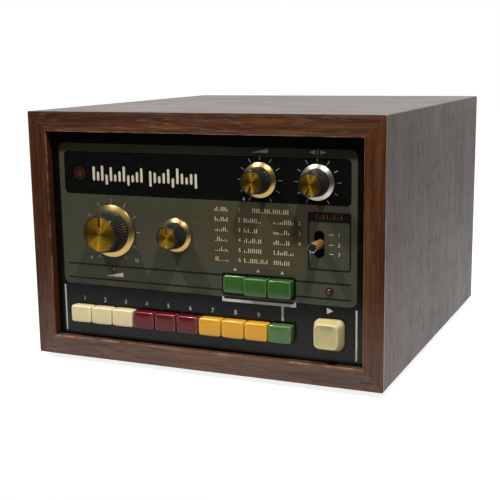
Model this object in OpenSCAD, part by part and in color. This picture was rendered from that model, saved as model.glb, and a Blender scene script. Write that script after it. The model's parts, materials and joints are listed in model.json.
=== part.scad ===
// A drum machine in a mitred walnut cabinet, with a recessed front panel of knobs and push buttons.
// Millimetres. x runs to the right as seen from the front, the front faces -y and z is up.
// The origin is on the floor, in the middle of the whole object's footprint.

/* [Cabinet] */
// Outside width of the cabinet
cab_w = 268; // [266:1:330]
// Outside height of the cabinet, without its feet
cab_h = 180.5; // [178:0.5:220]
// Outside depth of the cabinet
cab_d = 287; // [238:1:350]
// Thickness of the four cabinet boards
board_t = 14.2; // [11:0.1:14.9]
// Thickness of the wood strips that cover the boards' front edges
edging_t = 1.5; // [0.8:0.1:3]
// Radius of the cabinet's outer long edges
cab_edge_r = 1.2; // [0.4:0.1:3]
// Height of the rubber feet
foot_h = 4; // [3.2:0.1:8]
// Radius of the rubber feet
foot_r = 8; // [6:0.5:12]
// Distance from the cabinet's outside faces to the middle of a foot
foot_inset = 26; // [22:1:40]

/* [Front panel] */
// Depth of the panel's face behind the front of the cabinet
panel_recess = 7; // [3:0.5:12]
// Thickness of the panel
panel_t = 2; // [1.2:0.1:2.4]
// Gap between the panel and the cabinet all round
panel_gap = 0.3; // [0.2:0.05:0.6]

/* [Push buttons] */
// Distance from one button to the next
button_pitch = 17.5; // [14:0.1:17.6]
// Middle of the last button of both rows, from the middle of the panel
last_button_x = 60.8; // [55:0.1:64]
// Gap between one button cap and the next
cap_gap = 0.9; // [0.6:0.1:4]
// Height of a button cap
cap_h = 12.4; // [8:0.1:15]
// How far a released button stands proud of the panel
cap_proud = 6.8; // [5.5:0.1:10]
// Travel from released to latched in
latch_travel = 4.5; // [3:0.1:4.8]
// Width of the bevel round a cap's face
cap_bevel = 0.8; // [0.3:0.1:1.4]
// Wall of a button cap
cap_wall = 1.4; // [0.8:0.1:1.8]
// Height of the rhythm row above the panel's lower edge
rhythm_row_z = 17.7; // [17:0.1:21]
// Height of the variation row above the panel's lower edge
variation_row_z = 48.7; // [46:0.1:56]

/* [Start button] */
// Middle of the start button, from the middle of the panel
start_x = 94.6; // [90:0.1:98]
// Height of the start button above the panel's lower edge
start_z = 19.8; // [19.5:0.1:24]
// Width and height of the start button
start_size = 21; // [16:0.1:21.5]
// How far the start button stands proud of the panel
start_proud = 8.5; // [6:0.1:12]
// Width and height of its flat face
start_face = 15; // [11:0.1:15.8]

/* [Large knob] */
// Middle of the tempo knob, from the middle of the panel
tempo_x = -71; // [-84:0.5:-60]
// Radius of its skirt
big_skirt_r = 19; // [17:0.1:23]
// Radius of its grip where it meets the skirt
big_base_r = 15.4; // [13.5:0.1:16.5]
// Radius of its grip at the front
big_top_r = 13.3; // [11:0.1:15]
// Distance from the panel to its front
big_knob_h = 17.3; // [14:0.1:21]

/* [Small knobs] */
// Middle of the selector knob, from the middle of the panel
selector_x = -18.8; // [-22:0.1:-14]
// Middle of the volume knob, from the middle of the panel
volume_x = 45.3; // [40:0.1:50]
// Middle of the balance knob, from the middle of the panel
balance_x = 86.1; // [80:0.1:90]
// Radius of a small skirt
small_skirt_r = 12; // [11:0.1:14.5]
// Radius of a small grip where it meets the skirt
small_base_r = 9.4; // [8.8:0.1:10.4]
// Radius of a small grip at the front
small_top_r = 8.1; // [7:0.1:9.8]
// Distance from the panel to the front of a small knob
small_knob_h = 15; // [12:0.1:18]

/* [Rows of knobs] */
// Height of the tempo and selector knobs and of the lever above the panel's lower edge
middle_row_z = 80.5; // [78:0.5:84]
// Height of the volume and balance knobs above the panel's lower edge
top_row_z = 121.6; // [119:0.1:126]
// Radius of the shafts
shaft_r = 3; // [2.5:0.05:3.4]
// Radial running clearance of a shaft in its bush
shaft_clear = 0.05; // [0.02:0.01:0.1]

/* [Lever and lamp] */
// Middle of the lever's slot, from the middle of the panel
lever_x = 87.3; // [84:0.1:92]
// Radius of the lever
lever_r = 3.1; // [2.4:0.05:3.3]
// How far the lever stands proud of the panel
lever_proud = 14; // [9:0.5:18]
// Height of the lever's slot
slot_h = 18.4; // [17.4:0.1:20]
// Width of the lever's slot
slot_w = 7.2; // [7:0.1:9]
// Middle of the lamp, from the middle of the panel
lamp_x = 94.5; // [90:0.1:98]
// Radius of the lamp
lamp_r = 2; // [1.2:0.1:2.6]

/* [Rear] */
// Depth of the rear panel's face inside the back of the cabinet
rear_recess = 7; // [6.5:0.5:12]
// Radius of the hole in a jack, for a 6.35 mm plug
jack_bore_r = 3.2; // [3.18:0.01:3.3]
// Radius of the cord hole in the gland
gland_bore_r = 3.6; // [2.5:0.1:4.2]

/* [Hidden] */
$fn = 64;
eps = 0.01;
// How far a cut reaches past what it cuts
over = 1;

// Places of the main planes
tallest_knob = max(big_knob_h, small_knob_h, lever_proud);
front_proud = max(0, tallest_knob - panel_recess);
front_y = -(cab_d - front_proud) / 2;
back_y = front_y + cab_d;
panel_y = front_y + panel_recess;
panel_back_y = panel_y + panel_t;
floor_z = foot_h + board_t;
inner_w = cab_w - 2 * board_t;
inner_h = cab_h - 2 * board_t;
panel_w = inner_w - 2 * panel_gap;
panel_h = inner_h - 2 * panel_gap;
panel_foot_z = floor_z + panel_gap;
rear_t = 1.5;
rear_y = back_y - rear_recess - rear_t;

// Sheet metal
sheet_t = 1.5;
tray_side_gap = 1;
tray_w = inner_w - 2 * tray_side_gap;
tray_flange_h = 8;
bracket_leg = 4;
bracket_depth = 22;
bracket_foot_gap = 0.5;

// Fasteners
screw_gap = 0.1;
screw_reach = 2;
foot_screw_r = 2;
foot_screw_head_r = 3.8;
foot_screw_head_h = 1.8;
foot_sunk = 2.2;
rear_screw_r = 1.5;
rear_screw_head_r = 2.9;
rear_screw_head_h = 1.9;
rear_screw_len = 8;
screw_end_gap = 1;
rear_screw_inset = 7;
rear_screw_side = 12;
block_size = 2 * rear_screw_inset;
rear_low_z = tray_flange_h / 2 + sheet_t / 2;
rear_high_z = inner_h - rear_screw_inset;
rear_edge_x = inner_w / 2 - rear_screw_side;
rear_low_screws = [-rear_edge_x, 0, rear_edge_x];
rear_high_screws = [-rear_edge_x, rear_edge_x];

// Push switches: a cap on a flat plunger, which slides in a housing held by a steel frame
rhythm_count = 10;
variation_count = 3;
cap_w = button_pitch - cap_gap;
slot_gap = 0.6;
cap_tail = 1.2;
cap_sink = panel_t + cap_tail;
plunger_w = 4;
plunger_h = 3;
plunger_gap = 0.35;
boss_wall = 1.2;
boss_w = plunger_w + 2 * boss_wall;
boss_h = plunger_h + 2 * boss_wall;
socket_gap = 0.05;
frame_back = 12;
frame_t = 1.2;
frame_half_h = 6.6;
frame_flange = 20;
housing_gap = 3.5;
housing_w = button_pitch - housing_gap;
housing_h = 10.6;
housing_len = 27;
plunger_tail = 2;
plunger_end = frame_back + frame_t + housing_len + plunger_tail;
pillar_r = 2.2;
pillar_side = 3;

// Start switch
start_corner_r = 4;
start_face_r = 3.2;
start_wall = 1.6;
start_shoulder = 2.6;
start_housing = 16;

// Knobs and what holds them
skirt_lift = 0.8;
skirt_rim_t = 0.7;
skirt_top = 3.2;
skirt_t = 0.8;
skirt_slant = 1;
hub_hollow_r = 7;
hub_hollow_top = 5;
disc_t = 0.6;
disc_sink = 0.2;
disc_margin = 0.9;
notch_w = 1.3;
notch_start = 0.42;
disc_fit = 0.02;
bush_r = 4.5;
bush_proud = 4.2;
bush_gap = 0.1;
washer_t = 0.8;
washer_r = 6.4;
nut_t = 2;
nut_r = 6.2;
shaft_stop = 3;
shaft_end_gap = 0.5;
grip_fit = 0.03;
pot_r = 12;
pot_len = 9;
rotary_r = 14;
rotary_len = 16;
pot_floor = 2;
lug_pitch = 5;
lug_size = [2, 7, 0.8];
lug_inset = 1;

// Knob angles as the photograph shows them, clockwise from straight up
volume_rest = -165;
balance_rest = -156;

// Lever switch
pivot_back = 12;
lever_pin_r = 1.5;
lever_pin_clear = 0.05;
lever_hub_r = 3.6;
lever_hub_w = 8;
lever_box_wall = 2;
lever_box_gap = 0.5;
lever_box_back = 6;
lever_box_spare = 1;
lever_box_inner_h = slot_h + lever_box_spare;

// Lamp
lamp_dome = 2.4;
lamp_flange = 0.6;
lamp_flange_t = 1;
lamp_body = 4;
lamp_above_row = 0.4;
lamp_z = variation_row_z + lamp_above_row;
lamp_hole_gap = 0.1;

// Inside
board_size = [160, 140, 1.6];
board_x = -28;
board_gap = 62;
standoff_h = 8;
standoff_r = 3;
standoff_inset = 6;
chip_rows = [27.5, 53.5, 79.5];
chip_size = [19, 7, 4];
chip_pitch = 24;
capacitor_r = 4;
capacitor_h = 12;
capacitor_pitch = 16;
capacitor_y = 108;
trimmer_size = [8, 6, 9];
trimmer_pitch = 26;
trimmer_y = 127;
trafo_x = 84;
trafo_core = [50, 34, 42];
trafo_leg = 18;
trafo_window = [8, 26];
trafo_winding_t = 9;
trafo_gap = 0.1;
trafo_back_gap = 56;

// Rear sockets
jack_z = 70;
output_x = -84;
footswitch_x = -54;
jack_bush_r = 4.75;
jack_bush_proud = 5;
jack_body = 16;
jack_body_len = 22;
jack_hole_gap = 0.1;
jack_floor = 2;
jack_nut_r = 6.9;
jack_nut_t = 2.4;
gland_x = 92;
gland_z = 30;
gland_hole_r = 5.6;
gland_flange_r = 7.6;
gland_flange_t = 2.5;
gland_inner_step = 1;
gland_round = 0.8;
fuse_x = 62;
fuse_z = 30;
fuse_r = 6;
fuse_len = 26;
fuse_cap_r = 7.4;
fuse_cap_t = 5;
vent_count = 9;
vent_w = 2.5;
vent_h = 34;
vent_pitch = 12;
vent_z = 104;

// ---- helpers ----

// A rectangle with round corners, in the middle of the xy plane
module rounded_rect(w, h, r) {
    square([w - 2 * r, h], center = true);
    square([w, h - 2 * r], center = true);
    for (sx = [-1, 1], sy = [-1, 1])
        translate([sx * (w / 2 - r), sy * (h / 2 - r)]) circle(r);
}

// Extrudes an outline in x and z from y0 to y1
module along_depth(y0, y1) {
    translate([0, y1, 0]) rotate([90, 0, 0]) linear_extrude(y1 - y0) children();
}

// Local z points out of the panel's face, local x and y are the panel's right and up
module on_panel(x, z) {
    translate([x, panel_y, panel_foot_z + z]) rotate([90, 0, 0]) children();
}

// Local z points out of the rear panel's face, towards the back
module on_rear(x, z) {
    translate([x, rear_y + rear_t, floor_z + z]) rotate([-90, 0, 0]) children();
}

// A straight block whose local z runs from z0 to z1
module block(w, h, z0, z1) {
    translate([-w / 2, -h / 2, z0]) cube([w, h, z1 - z0]);
}

module rod(r, z0, z1) {
    translate([0, 0, z0]) cylinder(r = r, h = z1 - z0);
}

// Keeps the right-hand side, or mirrors it to the left
module on_side(s) {
    if (s > 0) children();
    else mirror([1, 0, 0]) children();
}

function button_x(count, i) = last_button_x - (count - 1 - i) * button_pitch;

function row_width(count) = (count - 1) * button_pitch + cap_w;

function row_middle(count) = last_button_x - (count - 1) * button_pitch / 2;

// ---- cabinet ----

module cabinet_outline() {
    translate([0, foot_h + cab_h / 2]) rounded_rect(cab_w, cab_h, cab_edge_r);
}

// One mitred quarter of the cabinet's section: 0 is the top, then clockwise
module mitred_quarter(side) {
    l = -cab_w / 2;
    r = cab_w / 2;
    b = foot_h;
    t = foot_h + cab_h;
    outer = [[l, t], [r, t], [r, b], [l, b]];
    inner = [[l + board_t, t - board_t], [r - board_t, t - board_t],
        [r - board_t, b + board_t], [l + board_t, b + board_t]];
    next = (side + 1) % 4;
    intersection() {
        cabinet_outline();
        polygon([outer[side], outer[next], inner[next], inner[side]]);
    }
}

module board(side) {
    along_depth(front_y + edging_t, back_y) mitred_quarter(side);
}

module edging(side) {
    along_depth(front_y, front_y + edging_t) mitred_quarter(side);
}

module at_feet() {
    for (sx = [-1, 1], y = [front_y + foot_inset, back_y - foot_inset])
        translate([sx * (cab_w / 2 - foot_inset), y, 0]) children();
}

module cabinet_top() {
    color("dimgray") board(0);
}

module cabinet_right_side() {
    color("dimgray") board(1);
}

module cabinet_bottom() {
    color("dimgray") difference() {
        board(2);
        at_feet() rod(foot_screw_r + screw_gap, foot_h - over, floor_z + over);
    }
}

module cabinet_left_side() {
    color("dimgray") board(3);
}

module edging_rails() {
    color("saddlebrown") {
        edging(0);
        edging(2);
    }
}

module edging_stiles() {
    color("saddlebrown") {
        edging(1);
        edging(3);
    }
}

module rubber_feet() {
    color("black") at_feet() difference() {
        cylinder(r = foot_r, h = foot_h);
        rod(foot_screw_head_r + screw_gap, -over, foot_sunk);
        rod(foot_screw_r + screw_gap, 0, foot_h + over);
    }
}

module foot_screws() {
    color("silver") at_feet() {
        rod(foot_screw_head_r, foot_sunk - foot_screw_head_h, foot_sunk);
        rod(foot_screw_r, foot_sunk - eps, floor_z + sheet_t + screw_reach);
    }
}

// ---- front panel ----

module panel_plate() {
    translate([0, 0, -panel_t]) linear_extrude(panel_t)
        translate([0, panel_h / 2]) square([panel_w, panel_h], center = true);
}

module button_row_hole(count, z) {
    w = row_width(count) + 2 * slot_gap;
    h = cap_h + 2 * slot_gap;
    translate([row_middle(count), z, 0]) block(w, h, -panel_t - over, over);
}

module start_hole() {
    translate([start_x, start_z, -panel_t - over]) linear_extrude(panel_t + 2 * over)
        rounded_rect(start_size + 2 * slot_gap, start_size + 2 * slot_gap, start_corner_r);
}

module lever_hole() {
    r = slot_w / 2;
    translate([lever_x, middle_row_z, -panel_t - over]) linear_extrude(panel_t + 2 * over) {
        square([slot_w, slot_h - slot_w], center = true);
        for (s = [-1, 1])
            translate([0, s * (slot_h / 2 - r)]) circle(r);
    }
}

module front_panel() {
    color("darkslategray") on_panel(0, 0) difference() {
        panel_plate();
        button_row_hole(rhythm_count, rhythm_row_z);
        button_row_hole(variation_count, variation_row_z);
        start_hole();
        lever_hole();
        for (p = [[tempo_x, middle_row_z], [selector_x, middle_row_z],
                  [volume_x, top_row_z], [balance_x, top_row_z]])
            translate([p.x, p.y, 0]) rod(bush_r + bush_gap, -panel_t - over, over);
        translate([lamp_x, lamp_z, 0]) rod(lamp_r + lamp_hole_gap, -panel_t - over, over);
    }
}

// Angle strips that join the panel's sides to the tray's flanges
module panel_brackets() {
    outer_x = tray_w / 2 - sheet_t;
    z0 = floor_z + sheet_t;
    leg_z = floor_z + tray_flange_h + bracket_foot_gap;
    top_z = panel_foot_z + panel_h - sheet_t;
    color("lightsteelblue") for (s = [-1, 1]) on_side(s) {
        translate([outer_x - bracket_leg, panel_back_y, leg_z])
            cube([bracket_leg, sheet_t, top_z - leg_z]);
        translate([outer_x - sheet_t, panel_back_y + sheet_t, z0])
            cube([sheet_t, bracket_depth, top_z - z0]);
    }
}

// ---- chassis ----

module chassis_tray() {
    d = rear_y - panel_back_y;
    color("lightsteelblue") difference() {
        translate([-tray_w / 2, panel_back_y, floor_z]) difference() {
            cube([tray_w, d, tray_flange_h]);
            translate([sheet_t, sheet_t, sheet_t])
                cube([tray_w - 2 * sheet_t, d - 2 * sheet_t, tray_flange_h]);
        }
        at_feet() rod(foot_screw_r + screw_gap, floor_z - over, floor_z + sheet_t + over);
        for (x = rear_low_screws)
            on_rear(x, rear_low_z) rod(rear_screw_r + screw_gap, -rear_screw_len, over);
    }
}

module rear_blocks() {
    color("burlywood") for (x = rear_high_screws)
        difference() {
            translate([x - block_size / 2, rear_y - block_size, floor_z + inner_h - block_size])
                cube(block_size);
            on_rear(x, rear_high_z) rod(rear_screw_r + screw_gap, -rear_screw_len - screw_end_gap, over);
        }
}

// ---- rear panel ----

module at_rear_screws() {
    for (x = rear_low_screws)
        on_rear(x, rear_low_z) children();
    for (x = rear_high_screws)
        on_rear(x, rear_high_z) children();
}

module rear_panel() {
    color("dimgray") difference() {
        on_rear(0, 0) translate([0, -panel_h / 2 - panel_gap, 0]) block(panel_w, panel_h, -rear_t, 0);
        at_rear_screws() rod(rear_screw_r + screw_gap, -rear_t - over, over);
        for (x = [output_x, footswitch_x])
            on_rear(x, jack_z) rod(jack_bush_r + jack_hole_gap, -rear_t - over, over);
        on_rear(gland_x, gland_z) rod(gland_hole_r, -rear_t - over, over);
        on_rear(fuse_x, fuse_z) rod(fuse_r + jack_hole_gap, -rear_t - over, over);
        for (i = [0 : vent_count - 1])
            on_rear((i - (vent_count - 1) / 2) * vent_pitch, vent_z)
                block(vent_w, vent_h, -rear_t - over, over);
    }
}

module rear_screws() {
    color("silver") at_rear_screws() {
        rod(rear_screw_head_r, 0, rear_screw_head_h);
        rod(rear_screw_r, -rear_screw_len, eps);
    }
}

// A jack: a body inside, and a threaded bush through the rear panel with its nut
module jack(x) {
    color("dimgray") on_rear(x, jack_z) difference() {
        union() {
            block(jack_body, jack_body, -rear_t - jack_body_len, -rear_t);
            rod(jack_bush_r, -rear_t - eps, jack_bush_proud);
            cylinder(r = jack_nut_r, h = jack_nut_t, $fn = 6);
        }
        rod(jack_bore_r, -rear_t - jack_body_len + jack_floor, jack_bush_proud + over);
    }
}

module output_jack() {
    jack(output_x);
}

module footswitch_jack() {
    jack(footswitch_x);
}

// A rubber bush with a groove that snaps into the rear panel
module cord_gland() {
    color("black") on_rear(gland_x, gland_z) rotate_extrude() polygon([
        [gland_bore_r, -rear_t - gland_flange_t],
        [gland_flange_r - gland_inner_step, -rear_t - gland_flange_t],
        [gland_flange_r - gland_inner_step, -rear_t], [gland_hole_r, -rear_t], [gland_hole_r, 0],
        [gland_flange_r, 0], [gland_flange_r - gland_round, gland_flange_t],
        [gland_bore_r, gland_flange_t]]);
}

module fuse_holder() {
    color("black") on_rear(fuse_x, fuse_z) {
        rod(fuse_r, -fuse_len, 0);
        rod(fuse_cap_r, 0, fuse_cap_t);
    }
}

// ---- push buttons ----

// A hollow bevelled cap, and the plunger in its socket. push is how far in it stands at rest
module push_button(count, i, row_z, push, tint) {
    z1 = cap_proud - push;
    z0 = -cap_sink - push;
    inner_top = z1 - cap_wall;
    on_panel(button_x(count, i), row_z) {
        color(tint) difference() {
            hull() {
                block(cap_w, cap_h, z0, z1 - cap_bevel);
                block(cap_w - 2 * cap_bevel, cap_h - 2 * cap_bevel, z0, z1);
            }
            difference() {
                block(cap_w - 2 * cap_wall, cap_h - 2 * cap_wall, z0 - over, inner_top);
                block(boss_w, boss_h, z0 - 2 * over, inner_top + over);
            }
            plunger_socket(z0 - over, inner_top);
        }
        plunger(-plunger_end - push, inner_top);
    }
}

module plunger_socket(z0, z1) {
    block(plunger_w + 2 * socket_gap, plunger_h + 2 * socket_gap, z0, z1);
}

module plunger(z0, z1) {
    color("ivory") block(plunger_w, plunger_h, z0, z1 - socket_gap);
}

// The way through for a plunger
module plunger_way(z0, z1) {
    block(plunger_w + 2 * plunger_gap, plunger_h + 2 * plunger_gap, z0, z1);
}

module rhythm_button(i) {
    tint = i < 3 ? "ivory" : i < 6 ? "maroon" : i < 9 ? "orange" : "seagreen";
    push_button(rhythm_count, i, rhythm_row_z, 0, tint);
}

// The first variation button is latched in
module variation_button(i) {
    push_button(variation_count, i, variation_row_z, i == 0 ? latch_travel : 0, "green");
}

// Steel plate with flanges, on two pillars behind the panel
module switch_frame(count, row_z) {
    half_w = row_width(count) / 2 + slot_gap + pillar_side + pillar_r;
    color("silver") on_panel(row_middle(count), row_z) difference() {
        union() {
            block(2 * half_w, 2 * frame_half_h, -frame_back - frame_t, -frame_back);
            for (s = [-1, 1]) {
                translate([0, s * (frame_half_h - frame_t / 2), 0])
                    block(row_width(count), frame_t, -frame_back - frame_flange, -frame_back - frame_t);
                translate([s * (row_width(count) / 2 + slot_gap + pillar_side), 0, 0])
                    rod(pillar_r, -frame_back, -panel_t);
            }
        }
        for (i = [0 : count - 1])
            translate([button_x(count, i) - row_middle(count), 0, 0])
                plunger_way(-frame_back - frame_t - over, -frame_back + over);
    }
}

// The fixed housings, each with a square way through for its plunger
module switch_bodies(count, row_z) {
    z1 = -frame_back - frame_t;
    color("saddlebrown") for (i = [0 : count - 1])
        on_panel(button_x(count, i), row_z) difference() {
            block(housing_w, housing_h, z1 - housing_len, z1);
            plunger_way(z1 - housing_len - over, z1 + over);
        }
}

module rhythm_switch_frame() {
    switch_frame(rhythm_count, rhythm_row_z);
}

module rhythm_switch_bodies() {
    switch_bodies(rhythm_count, rhythm_row_z);
}

module variation_switch_frame() {
    switch_frame(variation_count, variation_row_z);
}

module variation_switch_bodies() {
    switch_bodies(variation_count, variation_row_z);
}

// ---- start button ----

module start_prism(size, r, z0, z1) {
    translate([0, 0, z0]) linear_extrude(z1 - z0) rounded_rect(size, size, r, $fn = 32);
}

module start_button() {
    inner_top = start_proud - 2 * start_wall;
    on_panel(start_x, start_z) {
        color("ivory") difference() {
            hull() {
                start_prism(start_size, start_corner_r, -cap_sink, start_shoulder);
                start_prism(start_face, start_face_r, start_proud - eps, start_proud);
            }
            difference() {
                hull() {
                    start_prism(start_size - 2 * start_wall, start_corner_r - start_wall, -cap_sink - over,
                        start_shoulder - start_wall);
                    start_prism(start_face - 2 * start_wall, start_face_r - start_wall,
                        inner_top - eps, inner_top);
                }
                block(boss_w, boss_h, -cap_sink - 2 * over, start_proud);
            }
            plunger_socket(-cap_sink - over, inner_top);
        }
        plunger(-plunger_end, inner_top);
    }
}

// The start switch hangs behind the panel on two pillars of its own
module start_switch_body() {
    side = start_size / 2 + slot_gap + pillar_side;
    z1 = -frame_back;
    color("saddlebrown") on_panel(start_x, start_z) difference() {
        union() {
            block(start_housing, start_housing, z1 - housing_len, z1);
            block(2 * (side + pillar_r), plunger_h + 2 * pillar_r, z1 - frame_t, z1);
            for (s = [-1, 1])
                translate([s * side, 0, 0]) rod(pillar_r, z1 - eps, -panel_t);
        }
        plunger_way(z1 - housing_len - over, z1 + over);
    }
}

// ---- knobs ----

// The black grip: a tapered hub with a hollow below for the nut and a shallow seat for the disc
module knob_grip(base_r, top_r, h) {
    seat = h - disc_sink - disc_t;
    color("black") rotate_extrude() polygon([
        [hub_hollow_r, skirt_top], [base_r, skirt_top], [top_r, h], [top_r - disc_margin, h],
        [top_r - disc_margin, seat], [0, seat], [0, h - shaft_stop],
        [shaft_r + grip_fit, h - shaft_stop], [shaft_r + grip_fit, hub_hollow_top],
        [hub_hollow_r, hub_hollow_top]]);
}

// The flared metal skirt, and the disc in the knob's face with its pointer notch at the given angle
module knob_trim(skirt_r, base_r, top_r, h, angle, skirt_tint) {
    disc_r = top_r - disc_margin - disc_fit;
    color(skirt_tint) rotate_extrude() polygon([
        [skirt_r, skirt_lift], [skirt_r, skirt_lift + skirt_rim_t], [base_r, skirt_top],
        [hub_hollow_r, skirt_top], [hub_hollow_r, skirt_top - skirt_t],
        [base_r - skirt_slant, skirt_top - skirt_t], [skirt_r - skirt_slant, skirt_lift]]);
    color("goldenrod") rotate([0, 0, -angle]) difference() {
        rod(disc_r, h - disc_sink - disc_t, h - disc_sink);
        translate([-notch_w / 2, disc_r * notch_start, h - disc_sink - disc_t - over])
            cube([notch_w, disc_r, disc_t + 2 * over]);
    }
}

module shaft(h, body_len) {
    z0 = -panel_t - body_len + pot_floor + shaft_end_gap;
    color("silver") rod(shaft_r, z0, h - shaft_stop - shaft_end_gap);
}

// The round body behind the panel with its threaded bush through it
module control_body(r, len) {
    color("silver") difference() {
        union() {
            rod(r, -panel_t - len, -panel_t);
            rod(bush_r, -panel_t - eps, bush_proud);
            for (i = [-1 : 1])
                translate([i * lug_pitch, lug_inset - r - lug_size.y / 2, -panel_t - len / 2])
                    cube(lug_size, center = true);
        }
        rod(shaft_r + shaft_clear, -panel_t - len + pot_floor, bush_proud + over);
    }
}

module tempo_knob() {
    on_panel(tempo_x, middle_row_z) knob_grip(big_base_r, big_top_r, big_knob_h);
}

module tempo_knob_trim() {
    on_panel(tempo_x, middle_row_z)
        knob_trim(big_skirt_r, big_base_r, big_top_r, big_knob_h, 0, "goldenrod");
}

module tempo_shaft() {
    on_panel(tempo_x, middle_row_z) shaft(big_knob_h, pot_len);
}

module small_knob(x, z) {
    on_panel(x, z) knob_grip(small_base_r, small_top_r, small_knob_h);
}

module small_knob_trim(x, z, angle, skirt_tint) {
    on_panel(x, z) knob_trim(small_skirt_r, small_base_r, small_top_r, small_knob_h, angle, skirt_tint);
}

module selector_knob() {
    small_knob(selector_x, middle_row_z);
}

module selector_knob_trim() {
    small_knob_trim(selector_x, middle_row_z, 0, "goldenrod");
}

module selector_shaft() {
    on_panel(selector_x, middle_row_z) shaft(small_knob_h, rotary_len);
}

module volume_knob() {
    small_knob(volume_x, top_row_z);
    on_panel(volume_x, top_row_z) shaft(small_knob_h, pot_len);
}

module volume_knob_trim() {
    small_knob_trim(volume_x, top_row_z, volume_rest, "goldenrod");
}

module balance_knob() {
    small_knob(balance_x, top_row_z);
    on_panel(balance_x, top_row_z) shaft(small_knob_h, pot_len);
}

module balance_knob_trim() {
    small_knob_trim(balance_x, top_row_z, balance_rest, "silver");
}

module tempo_potentiometer() {
    on_panel(tempo_x, middle_row_z) control_body(pot_r, pot_len);
}

module selector_switch_body() {
    on_panel(selector_x, middle_row_z) control_body(rotary_r, rotary_len);
}

module volume_potentiometer() {
    on_panel(volume_x, top_row_z) control_body(pot_r, pot_len);
}

module balance_potentiometer() {
    on_panel(balance_x, top_row_z) control_body(pot_r, pot_len);
}

// A washer and a hexagon nut on each bush, hidden under the skirts
module control_nuts() {
    color("silver") for (p = [[tempo_x, middle_row_z], [selector_x, middle_row_z],
                              [volume_x, top_row_z], [balance_x, top_row_z]])
        on_panel(p.x, p.y) difference() {
            union() {
                rod(washer_r, 0, washer_t);
                translate([0, 0, washer_t]) cylinder(r = nut_r, h = nut_t, $fn = 6);
            }
            rod(bush_r, -over, washer_t + nut_t + over);
        }
}

// ---- lever ----

module across_lever(r, len) {
    translate([-len / 2, 0, -pivot_back]) rotate([0, 90, 0]) cylinder(r = r, h = len);
}

module pattern_lever() {
    color("tan") on_panel(lever_x, middle_row_z) {
        rod(lever_r, -pivot_back, lever_proud);
        pin_len = lever_hub_w + 2 * lever_box_gap + 2 * lever_box_wall;
        across_lever(lever_hub_r, lever_hub_w);
        across_lever(lever_pin_r, pin_len);
    }
}

// A box that is open to the front, with a bore in each side wall for the lever's pin
module lever_switch_body() {
    in_w = lever_hub_w + 2 * lever_box_gap;
    out_w = in_w + 2 * lever_box_wall;
    color("saddlebrown") on_panel(lever_x, middle_row_z) difference() {
        block(out_w, lever_box_inner_h + 2 * lever_box_wall,
            -pivot_back - lever_box_back - lever_box_wall, -panel_t);
        block(in_w, lever_box_inner_h, -pivot_back - lever_box_back, over);
        across_lever(lever_pin_r + lever_pin_clear, 2 * out_w);
    }
}

// ---- lamp ----

module tempo_lamp() {
    color("red") on_panel(lamp_x, lamp_z) {
        rod(lamp_r, -panel_t - eps, lamp_dome - lamp_r);
        translate([0, 0, lamp_dome - lamp_r]) intersection() {
            sphere(lamp_r);
            rod(lamp_r, 0, lamp_r);
        }
        rod(lamp_r + lamp_flange, -panel_t - lamp_flange_t, -panel_t);
        rod(lamp_r, -panel_t - lamp_body, -panel_t - lamp_flange_t + eps);
    }
}

// ---- circuit board ----

board_front_y = panel_back_y + board_gap;
board_z = floor_z + sheet_t + standoff_h;

module at_standoffs() {
    for (sx = [-1, 1], sy = [-1, 1])
        translate([board_x + sx * (board_size.x / 2 - standoff_inset),
            board_front_y + board_size.y / 2 + sy * (board_size.y / 2 - standoff_inset), 0]) children();
}

module main_board() {
    color("darkgreen") difference() {
        translate([board_x - board_size.x / 2, board_front_y, board_z]) cube(board_size);
        at_standoffs() rod(rear_screw_r + screw_gap, board_z - over, board_z + board_size.z + over);
    }
}

// A spacer below the board and a screw through it, at each corner
module board_standoffs() {
    color("silver") at_standoffs() {
        rod(standoff_r, floor_z + sheet_t, board_z);
        rod(rear_screw_r, board_z - eps, board_z + board_size.z + eps);
        rod(rear_screw_head_r, board_z + board_size.z, board_z + board_size.z + rear_screw_head_h);
    }
}

// Puts a row of count pieces on the board, y from its front edge
module board_row(count, pitch, y) {
    for (i = [0 : count - 1])
        translate([board_x + (i - (count - 1) / 2) * pitch, board_front_y + y, board_z + board_size.z])
            children();
}

// Rows of chips, capacitors and trimmers
module board_components() {
    color("dimgray") for (y = chip_rows)
        board_row(6, chip_pitch, y) block(chip_size.x, chip_size.y, 0, chip_size.z);
    color("steelblue") board_row(8, capacitor_pitch, capacitor_y)
        cylinder(r = capacitor_r, h = capacitor_h);
    color("silver") board_row(5, trimmer_pitch, trimmer_y)
        block(trimmer_size.x, trimmer_size.y, 0, trimmer_size.z);
}

// A laminated core with two windows, and the winding round its middle leg
module mains_transformer() {
    z = floor_z + sheet_t + trafo_core.z / 2;
    window_x = (trafo_leg + trafo_window.x) / 2;
    coil_w = trafo_leg + 2 * trafo_window.x - 2 * trafo_gap;
    coil_d = trafo_core.y + 2 * trafo_winding_t;
    coil_h = trafo_window.y - 2 * trafo_gap;
    translate([trafo_x, rear_y - trafo_back_gap, z]) {
        color("gray") difference() {
            cube(trafo_core, center = true);
            for (s = [-1, 1])
                translate([s * window_x, 0, 0])
                    cube([trafo_window.x, trafo_core.y + 2 * over, trafo_window.y], center = true);
        }
        color("goldenrod") difference() {
            cube([coil_w, coil_d, coil_h], center = true);
            cube([trafo_leg + 2 * trafo_gap, trafo_core.y + 2 * trafo_gap, coil_h + 2 * over],
                center = true);
        }
    }
}

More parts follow.
